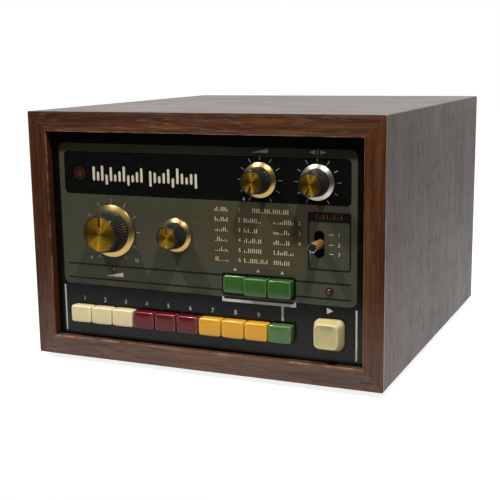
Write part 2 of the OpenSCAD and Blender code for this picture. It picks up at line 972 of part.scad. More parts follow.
cabinet_top();
cabinet_bottom();
cabinet_left_side();
cabinet_right_side();
edging_rails();
edging_stiles();
front_panel();
panel_brackets();
chassis_tray();
rear_panel();
rear_blocks();
rubber_feet();
foot_screws();
rear_screws();
rhythm_switch_frame();
rhythm_switch_bodies();
variation_switch_frame();
variation_switch_bodies();
start_switch_body();
tempo_potentiometer();
selector_switch_body();
volume_potentiometer();
balance_potentiometer();
control_nuts();
lever_switch_body();
tempo_lamp();
main_board();
board_components();
board_standoffs();
mains_transformer();
output_jack();
footswitch_jack();
cord_gland();
fuse_holder();
rhythm_button(0);  // rhythm_button_1
rhythm_button(1);  // rhythm_button_2
rhythm_button(2);  // rhythm_button_3
rhythm_button(3);  // rhythm_button_4
rhythm_button(4);  // rhythm_button_5
rhythm_button(5);  // rhythm_button_6
rhythm_button(6);  // rhythm_button_7
rhythm_button(7);  // rhythm_button_8
rhythm_button(8);  // rhythm_button_9
rhythm_button(9);  // rhythm_button_10
variation_button(0);  // variation_button_1
variation_button(1);  // variation_button_2
variation_button(2);  // variation_button_3
start_button();
tempo_knob();
tempo_knob_trim();
tempo_shaft();
selector_knob();
selector_knob_trim();
selector_shaft();
volume_knob();
volume_knob_trim();
balance_knob();
balance_knob_trim();
pattern_lever();
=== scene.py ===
import json
import math
import random

import bmesh
import bpy
from mathutils import Matrix, Vector


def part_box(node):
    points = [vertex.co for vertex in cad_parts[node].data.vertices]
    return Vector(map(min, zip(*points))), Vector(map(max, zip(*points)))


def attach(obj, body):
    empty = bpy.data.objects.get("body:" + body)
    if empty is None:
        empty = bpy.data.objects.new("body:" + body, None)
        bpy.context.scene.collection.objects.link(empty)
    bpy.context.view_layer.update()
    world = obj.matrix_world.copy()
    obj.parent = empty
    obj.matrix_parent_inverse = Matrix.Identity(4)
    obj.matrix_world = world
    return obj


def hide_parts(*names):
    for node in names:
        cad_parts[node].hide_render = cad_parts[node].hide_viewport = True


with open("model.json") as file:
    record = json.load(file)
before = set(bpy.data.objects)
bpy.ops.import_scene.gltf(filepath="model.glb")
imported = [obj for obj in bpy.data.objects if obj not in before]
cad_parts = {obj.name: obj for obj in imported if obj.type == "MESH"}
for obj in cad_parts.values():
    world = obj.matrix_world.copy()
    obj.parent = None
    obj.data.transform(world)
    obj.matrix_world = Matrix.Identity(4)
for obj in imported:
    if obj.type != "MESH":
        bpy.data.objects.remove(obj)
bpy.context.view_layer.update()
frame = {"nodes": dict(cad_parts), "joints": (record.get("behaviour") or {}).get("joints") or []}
NODES = frame["nodes"]
MM = 0.001


def box(node):
    """A node's lowest and highest corners, in mm."""
    return [[round(v / MM, 2) for v in corner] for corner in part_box(node)]


def middle(node):
    """The middle of a node as x and z on the panel, in mm."""
    low, high = box(node)
    return [round((low[k] + high[k]) / 2, 1) for k in (0, 2)]


def pivot(joint):
    """The place that a joint turns about, in mm."""
    return next([round(v / MM, 2) for v in j["pos_m"]] for j in frame["joints"] if j["name"] == joint)


# Sizes and places in millimetres, as the solids have them
SIDE_IN, SIDE_OUT = (corner[0] for corner in box("cabinet_right_side"))
TOP_IN, BOTTOM_IN = box("cabinet_top")[0][2], box("cabinet_bottom")[1][2]
FOOT_H = box("rubber_feet")[1][2]
PANEL_Y = box("front_panel")[0][1]
TEMPO, SELECTOR, VOLUME, BALANCE = (
    pivot(knob + "_turn")[::2] for knob in ("tempo", "selector", "volume", "balance"))
HINGE = pivot("pattern_lever_tilt")
LEVER = HINGE[::2]
LAMP = middle("tempo_lamp")
CIRCUIT_Y = box("main_board")[0][1]
CAPACITORS_FROM, TRIMMERS_FROM = CIRCUIT_Y + 100, CIRCUIT_Y + 118
TRANSFORMER_Y = sum(corner[1] for corner in box("mains_transformer")) / 2
CORE_HALF_DEPTH = 17.05


# ---------------------------------------------------------------- materials

def feed(tree, socket, value):
    """Links a node's output to a socket, or gives the socket a plain value."""
    if isinstance(value, bpy.types.NodeSocket):
        tree.links.new(value, socket)
    else:
        if isinstance(value, (tuple, list)) and len(value) == 3 and socket.type == "RGBA":
            value = (*value, 1.0)
        socket.default_value = value


class Shade:
    """A procedural material: a Principled shader and short names for the nodes that feed it."""

    def __init__(self, name, **inputs):
        self.mat = bpy.data.materials.new(name)
        self.mat.use_nodes = True
        self.tree = self.mat.node_tree
        self.tree.nodes.clear()
        self.bsdf = self.node("ShaderNodeBsdfPrincipled")
        out = self.node("ShaderNodeOutputMaterial")
        self.tree.links.new(self.bsdf.outputs[0], out.inputs[0])
        self.place = self.node("ShaderNodeTexCoord").outputs["Object"]
        self.set(**inputs)

    def node(self, kind, **values):
        n = self.tree.nodes.new(kind)
        for k, v in values.items():
            setattr(n, k, v)
        return n

    def put(self, socket, value):
        feed(self.tree, socket, value)

    def set(self, **inputs):
        for k, v in inputs.items():
            self.put(self.bsdf.inputs[k.replace("_", " ")], v)

    def mapped(self, scale=(1, 1, 1), loc=(0, 0, 0), rot=(0, 0, 0)):
        n = self.node("ShaderNodeMapping")
        self.put(n.inputs["Vector"], self.place)
        self.put(n.inputs["Location"], loc)
        self.put(n.inputs["Rotation"], rot)
        self.put(n.inputs["Scale"], scale)
        return n.outputs[0]

    def noise(self, scale, detail=3.0, rough=0.55, warp=0.0, vector=None):
        n = self.node("ShaderNodeTexNoise")
        self.put(n.inputs["Vector"], vector or self.place)
        self.put(n.inputs["Scale"], scale)
        self.put(n.inputs["Detail"], detail)
        self.put(n.inputs["Roughness"], rough)
        self.put(n.inputs["Distortion"], warp)
        return n.outputs["Fac"]

    def cells(self, scale, vector):
        n = self.node("ShaderNodeTexVoronoi")
        self.put(n.inputs["Vector"], vector)
        self.put(n.inputs["Scale"], scale)
        return n.outputs["Distance"]

    def ramp(self, fac, *stops):
        n = self.node("ShaderNodeValToRGB")
        els = n.color_ramp.elements
        while len(els) < len(stops):
            els.new(0.5)
        for e, (p, c) in zip(els, stops):
            e.position = p
            e.color = (*c, 1.0)
        self.put(n.inputs[0], fac)
        return n.outputs[0]

    def math(self, op, a, b=0.0, c=0.0, clamp=False):
        n = self.node("ShaderNodeMath", operation=op, use_clamp=clamp)
        for s, v in zip(n.inputs, (a, b, c)):
            self.put(s, v)
        return n.outputs[0]

    def span(self, value, lo, hi, to_lo=0.0, to_hi=1.0):
        n = self.node("ShaderNodeMapRange")
        sockets = ("Value", "From Min", "From Max", "To Min", "To Max")
        for k, v in zip(sockets, (value, lo, hi, to_lo, to_hi)):
            self.put(n.inputs[k], v)
        return n.outputs[0]

    def mix(self, fac, a, b, blend="MIX"):
        n = self.node("ShaderNodeMix", data_type="RGBA", blend_type=blend)
        self.put(n.inputs[0], fac)
        self.put(n.inputs[6], a)
        self.put(n.inputs[7], b)
        return n.outputs[2]

    def axes(self):
        n = self.node("ShaderNodeSeparateXYZ")
        self.put(n.inputs[0], self.place)
        return n.outputs

    def along_x(self, value):
        """A vector for a texture that changes with one value only."""
        n = self.node("ShaderNodeCombineXYZ")
        self.put(n.inputs[0], value)
        return n.outputs[0]

    def bump(self, height, depth, strength=1.0, under=None):
        n = self.node("ShaderNodeBump")
        self.put(n.inputs["Strength"], strength)
        self.put(n.inputs["Distance"], depth * MM)
        self.put(n.inputs["Height"], height)
        if under is not None:
            self.put(n.inputs["Normal"], under)
        return n.outputs[0]

    def painted(self, name):
        """A value that the mesh carries at its corners."""
        return self.node("ShaderNodeAttribute", attribute_name=name).outputs["Fac"]

    def edges(self, radius, gain):
        """1 on the edges, 0 on flat faces."""
        bevel = self.node("ShaderNodeBevel", samples=4)
        self.put(bevel.inputs["Radius"], radius * MM)
        dot = self.node("ShaderNodeVectorMath", operation="DOT_PRODUCT")
        self.put(dot.inputs[0], bevel.outputs[0])
        self.put(dot.inputs[1], self.node("ShaderNodeNewGeometry").outputs["Normal"])
        off = self.math("SUBTRACT", 1.0, dot.outputs["Value"])
        return self.math("MULTIPLY", off, gain, clamp=True)


def srgb(r, g, b):
    def lin(v):
        v /= 255.0
        return v / 12.92 if v <= 0.04045 else ((v + 0.055) / 1.055) ** 2.4
    return (lin(r), lin(g), lin(b))


FLECK, BLEACH, DUST = srgb(158, 138, 124), (0.25, 0.25, 0.25), (0.45, 0.43, 0.38)


def wood(name, grain, dark, mid, light, rough=0.38, seed=0.0, wear=0.4, fine=1.0, spec=0.5, wear_and_highlight=(),
         inner=None, relief=1.0, flecks=0.0):
    """Walnut with its grain along x, y or z.

    worn lists (axis, place in mm, reach in mm) of arrises painted pale, partly as wear and partly as painted
    highlight;
    inner is (axis, limit in mm, colour) for the faces nearer the middle than the limit. seed shifts the
    figure, and fine, relief and flecks say how strong the streaks, the pores and the pale dashes are.
    """
    s = Shade(name)
    k = "xyz".index(grain)

    def along(squeeze, shift=0.0):
        scale = [1.0, 1.0, 1.0]
        scale[k] = squeeze
        return s.mapped(scale=scale, loc=(seed + shift, seed * 0.7 - shift, seed * 1.3 + shift))
    broad_part, streak_part, hair_part = 0.40, 0.36 * fine, 0.24 * fine
    broad = s.noise(42, 3, 0.55, 0.7, along(0.10))
    streaks = s.noise(380, 4, 0.65, 0.3, along(0.028, 0.31))
    hairs = s.noise(1700, 2, 0.6, 0.0, along(0.02, 0.77))
    tone = s.math("MULTIPLY", broad, broad_part)
    tone = s.math("MULTIPLY_ADD", streaks, streak_part, tone)
    tone = s.math("MULTIPLY_ADD", hairs, hair_part, tone)
    mean = 0.5 * (broad_part + streak_part + hair_part)
    colour = s.ramp(tone, (mean - 0.12, dark), (mean + 0.01, mid), (mean + 0.13, light))
    if inner:
        axis, limit, tint = inner
        inside = s.math("LESS_THAN", s.math("ABSOLUTE", s.axes()[axis]), limit * MM)
        bare = s.mix(1.0, s.mix(0.55, colour, BLEACH), tint, "MULTIPLY")
        colour = s.mix(inside, colour, bare)
    pores = s.span(s.noise(1500, 2, 0.5, 0.0, along(0.045, 0.5)), 0.60, 0.68)
    colour = s.mix(s.math("MULTIPLY", pores, 0.7 * relief), colour, tuple(v * 0.3 for v in dark))
    if flecks:
        dash = s.math("MULTIPLY", s.span(s.noise(1500, 2, 0.6, 0.0, along(0.07, 1.9)), 0.55, 0.68),
                      s.span(s.noise(60, 3, 0.6, 0.0, along(0.4, 2.3)), 0.35, 0.65))
        colour = s.mix(s.math("MULTIPLY", dash, flecks, clamp=True), colour, FLECK)
    edge = s.edges(0.5, 2.5)
    rub = s.math("MULTIPLY", edge, s.span(s.noise(130, 3), 0.45, 0.65), clamp=True)
    pale = tuple(min(1, v * 2.0 + 0.09) for v in light)
    colour = s.mix(s.math("MULTIPLY", rub, wear), colour, pale)
    # Arrises painted pale near the given places: partly wear, partly painted highlight on the rounded edges
    for axis, place, reach in wear_and_highlight:
        off = s.math("ABSOLUTE", s.math("SUBTRACT", s.axes()[axis], place * MM))
        near = s.span(off, reach * MM, 0.0)
        patch = s.span(s.noise(70, 4, 0.7, 0.0, s.mapped(loc=(place, 0, place))), 0.42, 0.62)
        mask = s.math("MULTIPLY", s.math("MULTIPLY", near, patch), 0.75, clamp=True)
        colour = s.mix(mask, colour, pale)
    sheen = s.math("MULTIPLY_ADD", s.noise(26, 3, 0.6), 0.25, s.math("MULTIPLY", streaks, 0.75))
    dull = s.math("MULTIPLY_ADD", pores, 0.3 * relief, s.span(sheen, 0.35, 0.65, rough - 0.06, rough + 0.10))
    s.set(Base_Color=colour, Roughness=dull, Specular_IOR_Level=spec)
    grainy = s.bump(s.math("ADD", streaks, hairs), 0.03 * relief, 0.6)
    s.set(Normal=s.bump(pores, -0.05 * relief, 0.7, grainy))
    return s.mat


def paint(name, colour, rough=0.45, grit=0.5, dust=0.06, spec=0.5, scratched=0.0):
    """Sprayed or printed paint with a faint orange peel, handling marks and dust."""
    s = Shade(name)
    cloud = s.noise(24, 3, 0.6)
    speck = s.span(s.noise(2600, 1, 0.5), 0.66, 0.74)
    base = s.mix(s.span(cloud, 0.3, 0.7, 0.0, 0.5), colour, tuple(v * 0.82 for v in colour))
    base = s.mix(s.math("MULTIPLY", speck, dust), base, DUST)
    r = s.span(cloud, 0.25, 0.75, rough - 0.05, rough + 0.07)
    if scratched:
        scratch = s.span(s.noise(900, 2, 0.5, 0.4, s.mapped((1, 1, 0.02), rot=(0, 0.5, 0))), 0.64, 0.70)
        r = s.math("MULTIPLY_ADD", scratch, scratched, r)
    s.set(Base_Color=base, Roughness=r, Specular_IOR_Level=spec)
    s.set(Normal=s.bump(s.noise(1400, 2), 0.02 * grit, 0.6))
    return s.mat


def plastic(name, colour, rough=0.22, sub=0.0, age=0.25, tint=None, coat=0.0, edge=0.5, spec=0.4, wear_and_highlight=None):
    """Polished moulding, a little yellowed, painted bright along the rims that its mesh marks, partly as wear
    and partly as painted highlight.
    """
    s = Shade(name)
    tint = tint or tuple(v * 0.7 for v in colour)
    cloud = s.noise(75, 2, 0.5)
    base = s.mix(s.span(cloud, 0.3, 0.75, 0.0, age), colour, tint)
    speck = s.span(s.noise(1300, 2, 0.6), 0.68, 0.76, 0.0, 0.25)
    base = s.mix(speck, base, tuple(v * 0.5 for v in tint))
    # Rims painted lighter from the mesh's rub: partly wear, partly painted highlight
    rim_wear_and_highlight = s.math("MULTIPLY", s.painted("rub"), s.span(s.noise(260, 2), 0.3, 0.6, 0.6, 1.0), clamp=True)
    wear_and_highlight = wear_and_highlight or tuple(min(1.0, v * 1.2 + 0.12) for v in colour)
    base = s.mix(s.math("MULTIPLY", rim_wear_and_highlight, edge), base, wear_and_highlight)
    s.set(Base_Color=base, Roughness=s.span(cloud, 0.3, 0.7, rough - 0.03, rough + 0.05),
          Specular_IOR_Level=spec, Coat_Weight=coat, Coat_Roughness=0.08)
    if sub:
        s.set(Subsurface_Weight=sub, Subsurface_Radius=(0.6, 0.35, 0.2), Subsurface_Scale=1.2 * MM)
    s.set(Normal=s.bump(s.noise(120, 1), 0.008, 0.4))
    return s.mat


def metal(name, colour, rough=0.25, brushed=0.0, rings=0.0, tarnish=0.2, fine=2200, painted_highlight_rays=0.0, coat=0.0):
    """Bright, plated or anodised metal.

    brushed is the anisotropy round the local z axis, rings the depth of the turned grooves in mm, and rays
    the strength of painted highlight and painted shade in radial sectors round the middle.
    """
    s = Shade(name)
    cloud = s.noise(110, 2, 0.5)
    base = s.mix(s.span(cloud, 0.4, 0.75, 0.0, tarnish), colour, tuple(v * 0.7 for v in colour))
    if painted_highlight_rays or rings:
        x, y, _ = s.axes()
    # Radial sectors painted lighter and darker: painted highlight and painted shade rays of a spun finish
    if painted_highlight_rays:
        ray = s.span(s.noise(22, 3, 0.7, 0.0, s.along_x(s.math("ARCTAN2", y, x))), 0.35, 0.68)
        shaded, lit = (tuple(min(1, v * gain) for v in colour) for gain in (1 - 0.3 * painted_highlight_rays, 1 + painted_highlight_rays))
        base = s.mix(ray, shaded, lit)
    spread = 0.06 - 0.05 * min(1.0, brushed)
    s.set(Base_Color=base, Metallic=1.0, Coat_Weight=coat, Coat_Roughness=0.4,
          Roughness=s.span(cloud, 0.3, 0.7, rough - spread / 3, rough + spread))
    if brushed:
        s.set(Anisotropic=brushed, Anisotropic_Rotation=0.25,
              Tangent=s.node("ShaderNodeTangent", direction_type="RADIAL", axis="Z").outputs[0])
    if rings:
        r = s.math("SQRT", s.math("ADD", s.math("MULTIPLY", x, x), s.math("MULTIPLY", y, y)))
        s.set(Normal=s.bump(s.noise(fine * 2.2, 2, 0.6, 0.0, s.along_x(r)), rings, 0.6))
    else:
        s.set(Normal=s.bump(s.noise(fine, 2), 0.006, 0.5))
    return s.mat


def rubber(name):
    """Black rubber with a grey bloom."""
    s = Shade(name)
    cloud = s.noise(60, 3)
    bloom = s.span(s.noise(700, 3, 0.7), 0.55, 0.75, 0.0, 0.25)
    base = s.mix(bloom, (0.018, 0.018, 0.018), (0.068, 0.068, 0.068))
    s.set(Base_Color=base, Roughness=s.span(cloud, 0.3, 0.7, 0.62, 0.82), Specular_IOR_Level=0.35)
    s.set(Normal=s.bump(s.noise(1800, 3), 0.03, 0.7))
    return s.mat


def lamp():
    """Red glass, frosted a little by age."""
    s = Shade("lamp_red")
    depth = s.noise(900, 2)
    s.set(Base_Color=s.mix(s.span(depth, 0.3, 0.7), srgb(90, 20, 16), srgb(70, 11, 9)), Roughness=0.3,
          Coat_Weight=0.3, Coat_Roughness=0.2, Subsurface_Weight=0.3, Subsurface_Radius=(1.0, 0.1, 0.1),
          Subsurface_Scale=1 * MM)
    return s.mat


def circuit_board():
    """Green lacquer over copper tracks, with pale solder points."""
    s = Shade("board_green")
    cell = s.cells(260, s.mapped((1, 1, 0)))
    track = s.span(s.noise(210, 0, 0.0, 0.0, s.mapped((1, 0.15, 1))), 0.48, 0.50)
    base = s.mix(track, srgb(30, 84, 42), srgb(52, 118, 58))
    base = s.mix(s.span(cell, 0.10, 0.13, 1.0, 0.0), base, srgb(190, 186, 172))
    s.set(Base_Color=base, Roughness=s.span(s.noise(40), 0.3, 0.7, 0.3, 0.5), Coat_Weight=0.3)
    s.set(Normal=s.bump(track, 0.05, 0.5))
    return s.mat


def circuit_parts():
    """Dark chips, then blue capacitors, then grey trimmers, by their places from the front to the back."""
    s = Shade("board_parts")
    y = s.axes()[1]
    base = s.mix(s.math("GREATER_THAN", y, CAPACITORS_FROM * MM), srgb(34, 34, 36), srgb(44, 78, 122))
    base = s.mix(s.math("GREATER_THAN", y, TRIMMERS_FROM * MM), base, srgb(150, 150, 148))
    base = s.mix(s.span(s.noise(300, 3), 0.35, 0.7, 0.0, 0.4), base, srgb(20, 20, 20))
    s.set(Base_Color=base, Roughness=s.span(s.noise(120), 0.3, 0.7, 0.35, 0.55))
    s.set(Normal=s.bump(s.noise(900, 2), 0.03, 0.5))
    return s.mat


def transformer():
    """A core of thin sheets, with the winding's tape where it stands out in front and behind."""
    s = Shade("transformer")
    off = s.math("ABSOLUTE", s.math("SUBTRACT", s.axes()[1], TRANSFORMER_Y * MM))
    coil = s.math("GREATER_THAN", off, CORE_HALF_DEPTH * MM)
    sheets = s.span(s.noise(1, 0, 0, 0, s.mapped((0, 1700, 0))), 0.4, 0.6)
    base = s.mix(sheets, srgb(70, 64, 58), srgb(104, 98, 90))
    base = s.mix(coil, base, srgb(196, 150, 66))
    s.set(Base_Color=base, Roughness=0.45, Metallic=s.math("SUBTRACT", 0.6, s.math("MULTIPLY", coil, 0.6)))
    s.set(Normal=s.bump(sheets, 0.1, 0.4))
    return s.mat


REVEAL = srgb(160, 94, 56)
M = {
    # The rails' and stiles' pale arrises are partly wear and partly painted highlight
    "rails": wood("walnut_rails", "x", srgb(42, 23, 14), srgb(80, 47, 29), srgb(118, 76, 49), rough=0.28,
                  seed=1.7, wear_and_highlight=((2, BOTTOM_IN, 1.2), (2, TOP_IN, 0.7)), flecks=0.4),
    "stiles": wood("walnut_stiles", "z", srgb(46, 24, 11), srgb(76, 42, 20), srgb(100, 60, 32), rough=0.28,
                   spec=0.4, seed=4.2, wear_and_highlight=((0, SIDE_IN, 0.6), (0, -SIDE_IN, 0.6)), flecks=0.12),
    "top": wood("walnut_top", "x", srgb(46, 34, 26), srgb(64, 49, 38), srgb(84, 66, 53), rough=0.34, seed=7.9,
                spec=0.4, relief=0.35, inner=(2, TOP_IN + 0.1, REVEAL)),
    "side": wood("walnut_side", "z", srgb(40, 26, 19), srgb(60, 42, 32), srgb(82, 60, 47), rough=0.36,
                 seed=11.3, fine=1.9, spec=0.14, relief=1.3, inner=(0, SIDE_IN + 0.1, REVEAL)),
    "bottom": wood("walnut_bottom", "x", srgb(46, 30, 22), srgb(74, 50, 36), srgb(96, 68, 50), rough=0.5,
                   seed=3.1),
    "softwood": wood("softwood", "x", srgb(150, 116, 74), srgb(186, 150, 102), srgb(206, 174, 128), rough=0.6,
                     seed=5.5, wear=0.1),
    "black": paint("panel_black", srgb(10, 10, 10), 0.24, 0.4, spec=0.25),
    "field": paint("panel_field", srgb(66, 66, 51), 0.42, 0.6, spec=0.3),
    "ground": paint("panel_ground", srgb(70, 64, 43), 0.42, 0.6, spec=0.3),
    "ink": paint("ink_black", srgb(9, 9, 9), 0.4, 0.3, spec=0.2),
    "white": paint("ink_white", srgb(196, 193, 184), 0.5, 0.4, dust=0.0),
    "cream_ink": paint("ink_cream", srgb(206, 199, 176), 0.5, 0.4, dust=0.0),
    "table_ink": paint("ink_table", srgb(200, 191, 164), 0.5, 0.4, dust=0.0),
    "grey_ink": paint("ink_grey", srgb(158, 156, 146), 0.5, 0.4, dust=0.0),
    "spot_ink": paint("ink_spot", srgb(62, 30, 18), 0.5, 0.4, dust=0.0, spec=0.2),
    "orange_ink": paint("ink_orange", srgb(90, 43, 25), 0.5, 0.4, dust=0.0, spec=0.2),
    "gold_ink": paint("ink_gold", srgb(80, 68, 34), 0.5, 0.4, dust=0.0, spec=0.3),
    "rear": paint("rear_black", srgb(28, 28, 28), 0.5, 1.5, scratched=0.12),
    # The caps' rims are painted lighter by their mesh's rub: partly wear, partly painted highlight
    "cream": plastic("cap_cream", srgb(225, 212, 170), 0.18, 0.2, 0.4, srgb(206, 184, 122)),
    "maroon": plastic("cap_maroon", srgb(96, 16, 25), 0.18, 0.0, 0.3, srgb(76, 10, 17), edge=0.55, spec=0.32),
    "amber": plastic("cap_amber", srgb(222, 163, 38), 0.2, 0.15, 0.3, srgb(206, 138, 30)),
    "green": plastic("cap_green", srgb(78, 112, 62), 0.2, 0.1, 0.3, srgb(62, 96, 50)),
    "green_upper": plastic("cap_green_upper", srgb(54, 94, 40), 0.2, 0.1, 0.3, srgb(44, 82, 34)),
    "start": plastic("start_cream", srgb(196, 184, 132), 0.22, 0.3, 0.4, srgb(172, 154, 98), edge=0.6),
    # The grip's flute crests are painted lighter: partly wear, partly painted highlight
    "grip": plastic("knob_black", srgb(17, 17, 17), 0.24, 0.0, 0.3, srgb(14, 14, 14), edge=0.9, spec=0.5,
                    wear_and_highlight=srgb(82, 81, 79)),
    "gold_skirt": metal("gold_skirt", srgb(191, 160, 82), 0.34, 0.45, rings=0.002, tarnish=0.1, coat=1.0),
    "gold_disc": metal("gold_disc", srgb(208, 160, 44), 0.27, 0.94, rings=0.002, tarnish=0.0, painted_highlight_rays=0.5),
    "silver_skirt": metal("silver_skirt", srgb(190, 184, 168), 0.36, 0.45, rings=0.002, tarnish=0.1,
                          coat=0.3),
    "tan": plastic("lever_tan", srgb(172, 122, 70), 0.26, 0.0, 0.5, srgb(136, 90, 48), coat=0.3),
    "chrome": metal("chrome", srgb(176, 176, 174), 0.26, 0.0, tarnish=0.2),
    "steel": metal("steel_screws", srgb(176, 176, 174), 0.28, 0.0, tarnish=0.25),
    "zinc": metal("zinc_steel", srgb(170, 168, 156), 0.4, 0.0, tarnish=0.4, fine=600),
    "nickel": metal("jack_nickel", srgb(196, 192, 182), 0.2, 0.0, tarnish=0.2),
    "rubber": rubber("foot_rubber"),
    "phenolic": plastic("phenolic", srgb(92, 58, 36), 0.5, 0.0, 0.4, edge=0.1),
    "ivory": plastic("plunger_ivory", srgb(206, 198, 176), 0.4, 0.1, 0.3),
    "black_plastic": plastic("black_plastic", srgb(24, 24, 24), 0.42, 0.0, 0.3, edge=0.1),
    "lamp": lamp(), "board": circuit_board(), "parts": circuit_parts(), "transformer": transformer(),
}

FINISH = {
    "rails": ["edging_rails"], "stiles": ["edging_stiles"], "top": ["cabinet_top"],
    "bottom": ["cabinet_bottom"], "side": ["cabinet_left_side", "cabinet_right_side"],
    "softwood": ["rear_blocks"], "black": ["front_panel"], "rear": ["rear_panel"],
    "zinc": ["panel_brackets", "chassis_tray", "rhythm_switch_frame", "variation_switch_frame",
             "tempo_potentiometer", "selector_switch_body", "volume_potentiometer", "balance_potentiometer",
             "board_standoffs"],
    "steel": ["foot_screws", "rear_screws", "control_nuts", "tempo_shaft", "selector_shaft"],
    "rubber": ["rubber_feet", "cord_gland"],
    "phenolic": ["rhythm_switch_bodies", "variation_switch_bodies", "start_switch_body", "lever_switch_body"],
    "lamp": ["tempo_lamp"], "board": ["main_board"], "parts": ["board_components"],
    "transformer": ["mains_transformer"], "nickel": ["output_jack", "footswitch_jack"],
    "black_plastic": ["fuse_holder"],
    "cream": [f"rhythm_button_{i}" for i in (1, 2, 3)], "maroon": [f"rhythm_button_{i}" for i in (4, 5, 6)],
    "amber": [f"rhythm_button_{i}" for i in (7, 8, 9)], "green": ["rhythm_button_10"],
    "green_upper": [f"variation_button_{i}" for i in (1, 2, 3)], "start": ["start_button"],
    "grip": ["tempo_knob", "selector_knob", "volume_knob", "balance_knob"],
    "gold_skirt": ["tempo_knob_trim", "selector_knob_trim", "volume_knob_trim"],
    "silver_skirt": ["balance_knob_trim"], "tan": ["pattern_lever"],
}
for look, names in FINISH.items():
    for n in names:
        for slot in NODES[n].material_slots:
            slot.material = M[look]


# ---------------------------------------------------------------- pieces

def rounded(node, width, segments):
    """Softens a solid's edges, as the real piece's are."""
    o = NODES[node]
    o.modifiers.new("weld", "WELD").merge_threshold = 1e-6
    bevel = o.modifiers.new("bevel", "BEVEL")
    bevel.width = width * MM
    bevel.segments = segments
    bevel.limit_method = "ANGLE"
    bevel.angle_limit = math.radians(30)
    bevel.use_clamp_overlap = True
    o.modifiers.new("normals", "WEIGHTED_NORMAL").keep_sharp = False
    for p in o.data.polygons:
        p.use_smooth = True


for n in ("cabinet_top", "cabinet_bottom", "cabinet_left_side", "cabinet_right_side"):
    rounded(n, 0.12, 2)
for n in ("edging_rails", "edging_stiles"):
    rounded(n, 0.35, 3)


def object_of(name, mesh, material, smooth=True):
    o = bpy.data.objects.new(name, mesh)
    bpy.context.scene.collection.objects.link(o)
    mesh.materials.clear()
    mesh.materials.append(material)
    for p in mesh.polygons:
        p.use_smooth = smooth
    return o


def add(name, mesh, look, matrix, body, node=None, smooth=True):
    """Puts a new piece on a body, with its look, in the place of a node where one is named."""
    o = object_of(name, mesh, M[look], smooth)
    o.matrix_world = matrix
    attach(o, body)
    if node:
        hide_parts(node)


def outwards(x, z):
    """The matrix that puts local z out of the panel's face at x, z, with local y up."""
    return Matrix.Translation((x * MM, PANEL_Y * MM, z * MM)) @ Matrix.Rotation(math.pi / 2, 4, "X")


def to_mesh(bm, name):
    mesh = bpy.data.meshes.new(name)
    bm.to_mesh(mesh)
    bm.free()
    return mesh


def extruded(curve, h0, h1):
    """The mesh of a flat curve or text, solid between the heights h0 and h1 in mm."""
    curve.extrude = (h1 - h0) / 2 * MM
    tmp = bpy.data.objects.new("outline", curve)
    bpy.context.scene.collection.objects.link(tmp)
    bpy.context.view_layer.update()
    mesh = bpy.data.meshes.new_from_object(tmp.evaluated_get(bpy.context.evaluated_depsgraph_get()))
    bpy.data.objects.remove(tmp)
    mesh.transform(Matrix.Translation((0, 0, (h0 + h1) / 2 * MM)))
    return mesh


def plate_mesh(loops, h0, h1):
    """A flat shape with holes, from outlines in mm."""
    curve = bpy.data.curves.new("outline", "CURVE")
    curve.dimensions = "2D"
    curve.fill_mode = "BOTH"
    for loop in loops:
        sp = curve.splines.new("POLY")
        sp.points.add(len(loop) - 1)
        for p, (x, z) in zip(sp.points, loop):
            p.co = (x * MM, z * MM, 0, 1)
        sp.use_cyclic_u = True
    return extruded(curve, h0, h1)


def text_mesh(body, size, h0, h1):
    """A number, centred on its place."""
    font = bpy.data.curves.new("label", "FONT")
    font.body = body
    font.size = size * MM
    font.align_x = "CENTER"
    font.align_y = "CENTER"
    return extruded(font, h0, h1)


def join_meshes(name, meshes):
    bm = bmesh.new()
    for m, matrix in meshes:
        m.transform(matrix)
        bm.from_mesh(m)
        bpy.data.meshes.remove(m)
    return to_mesh(bm, name)


def box_loop(x0, z0, x1, z1, r=0.0, n=6, cuts=1):
    """A rectangle's outline with rounded corners, and its sides cut into so many lengths."""
    if r <= 0:
        return [(x0, z0), (x1, z0), (x1, z1), (x0, z1)]
    out = []
    corners = ((x1 - r, z0 + r, -90), (x1 - r, z1 - r, 0), (x0 + r, z1 - r, 90), (x0 + r, z0 + r, 180))
    for k, (cx, cz, a) in enumerate(corners):
        for i in range(n + 1):
            t = math.radians(a + 90 * i / n)
            out.append((cx + r * math.cos(t), cz + r * math.sin(t)))
        nx, nz, b = corners[(k + 1) % 4]
        t = math.radians(b)
        end = (nx + r * math.cos(t), nz + r * math.sin(t))
        start = out[-1]
        for i in range(1, cuts):
            out.append((start[0] + (end[0] - start[0]) * i / cuts, start[1] + (end[1] - start[1]) * i / cuts))
    return out


def circle_loop(x, z, r, n=48):
    return [(x + r * math.cos(2 * math.pi * i / n), z + r * math.sin(2 * math.pi * i / n)) for i in range(n)]


def bar_loop(x0, z0, x1, z1, w):
    """A straight bar's outline, w wide, between two points."""
    d = Vector((x1 - x0, z1 - z0)).normalized()
    n = Vector((-d.y, d.x)) * (w / 2)
    return [(x0 + n.x, z0 + n.y), (x0 - n.x, z0 - n.y), (x1 - n.x, z1 - n.y), (x1 + n.x, z1 + n.y)]


class Print:
    """Printed shapes of one colour, gathered into one thin piece on the panel between two heights in mm."""

    def __init__(self, name, look, h0=0.09, h1=0.12):
        self.name, self.look, self.h0, self.h1, self.meshes = name, look, h0, h1, []

    def shape(self, *loops):
        self.meshes.append((plate_mesh(loops, self.h0, self.h1), outwards(0, FOOT_H)))

    def text(self, body, x, z, size):
        self.meshes.append((text_mesh(body, size, self.h0, self.h1), outwards(x, z + FOOT_H)))

    def done(self):
        add(self.name, join_meshes(self.name, self.meshes), self.look, Matrix(), "housing",
            smooth=False)


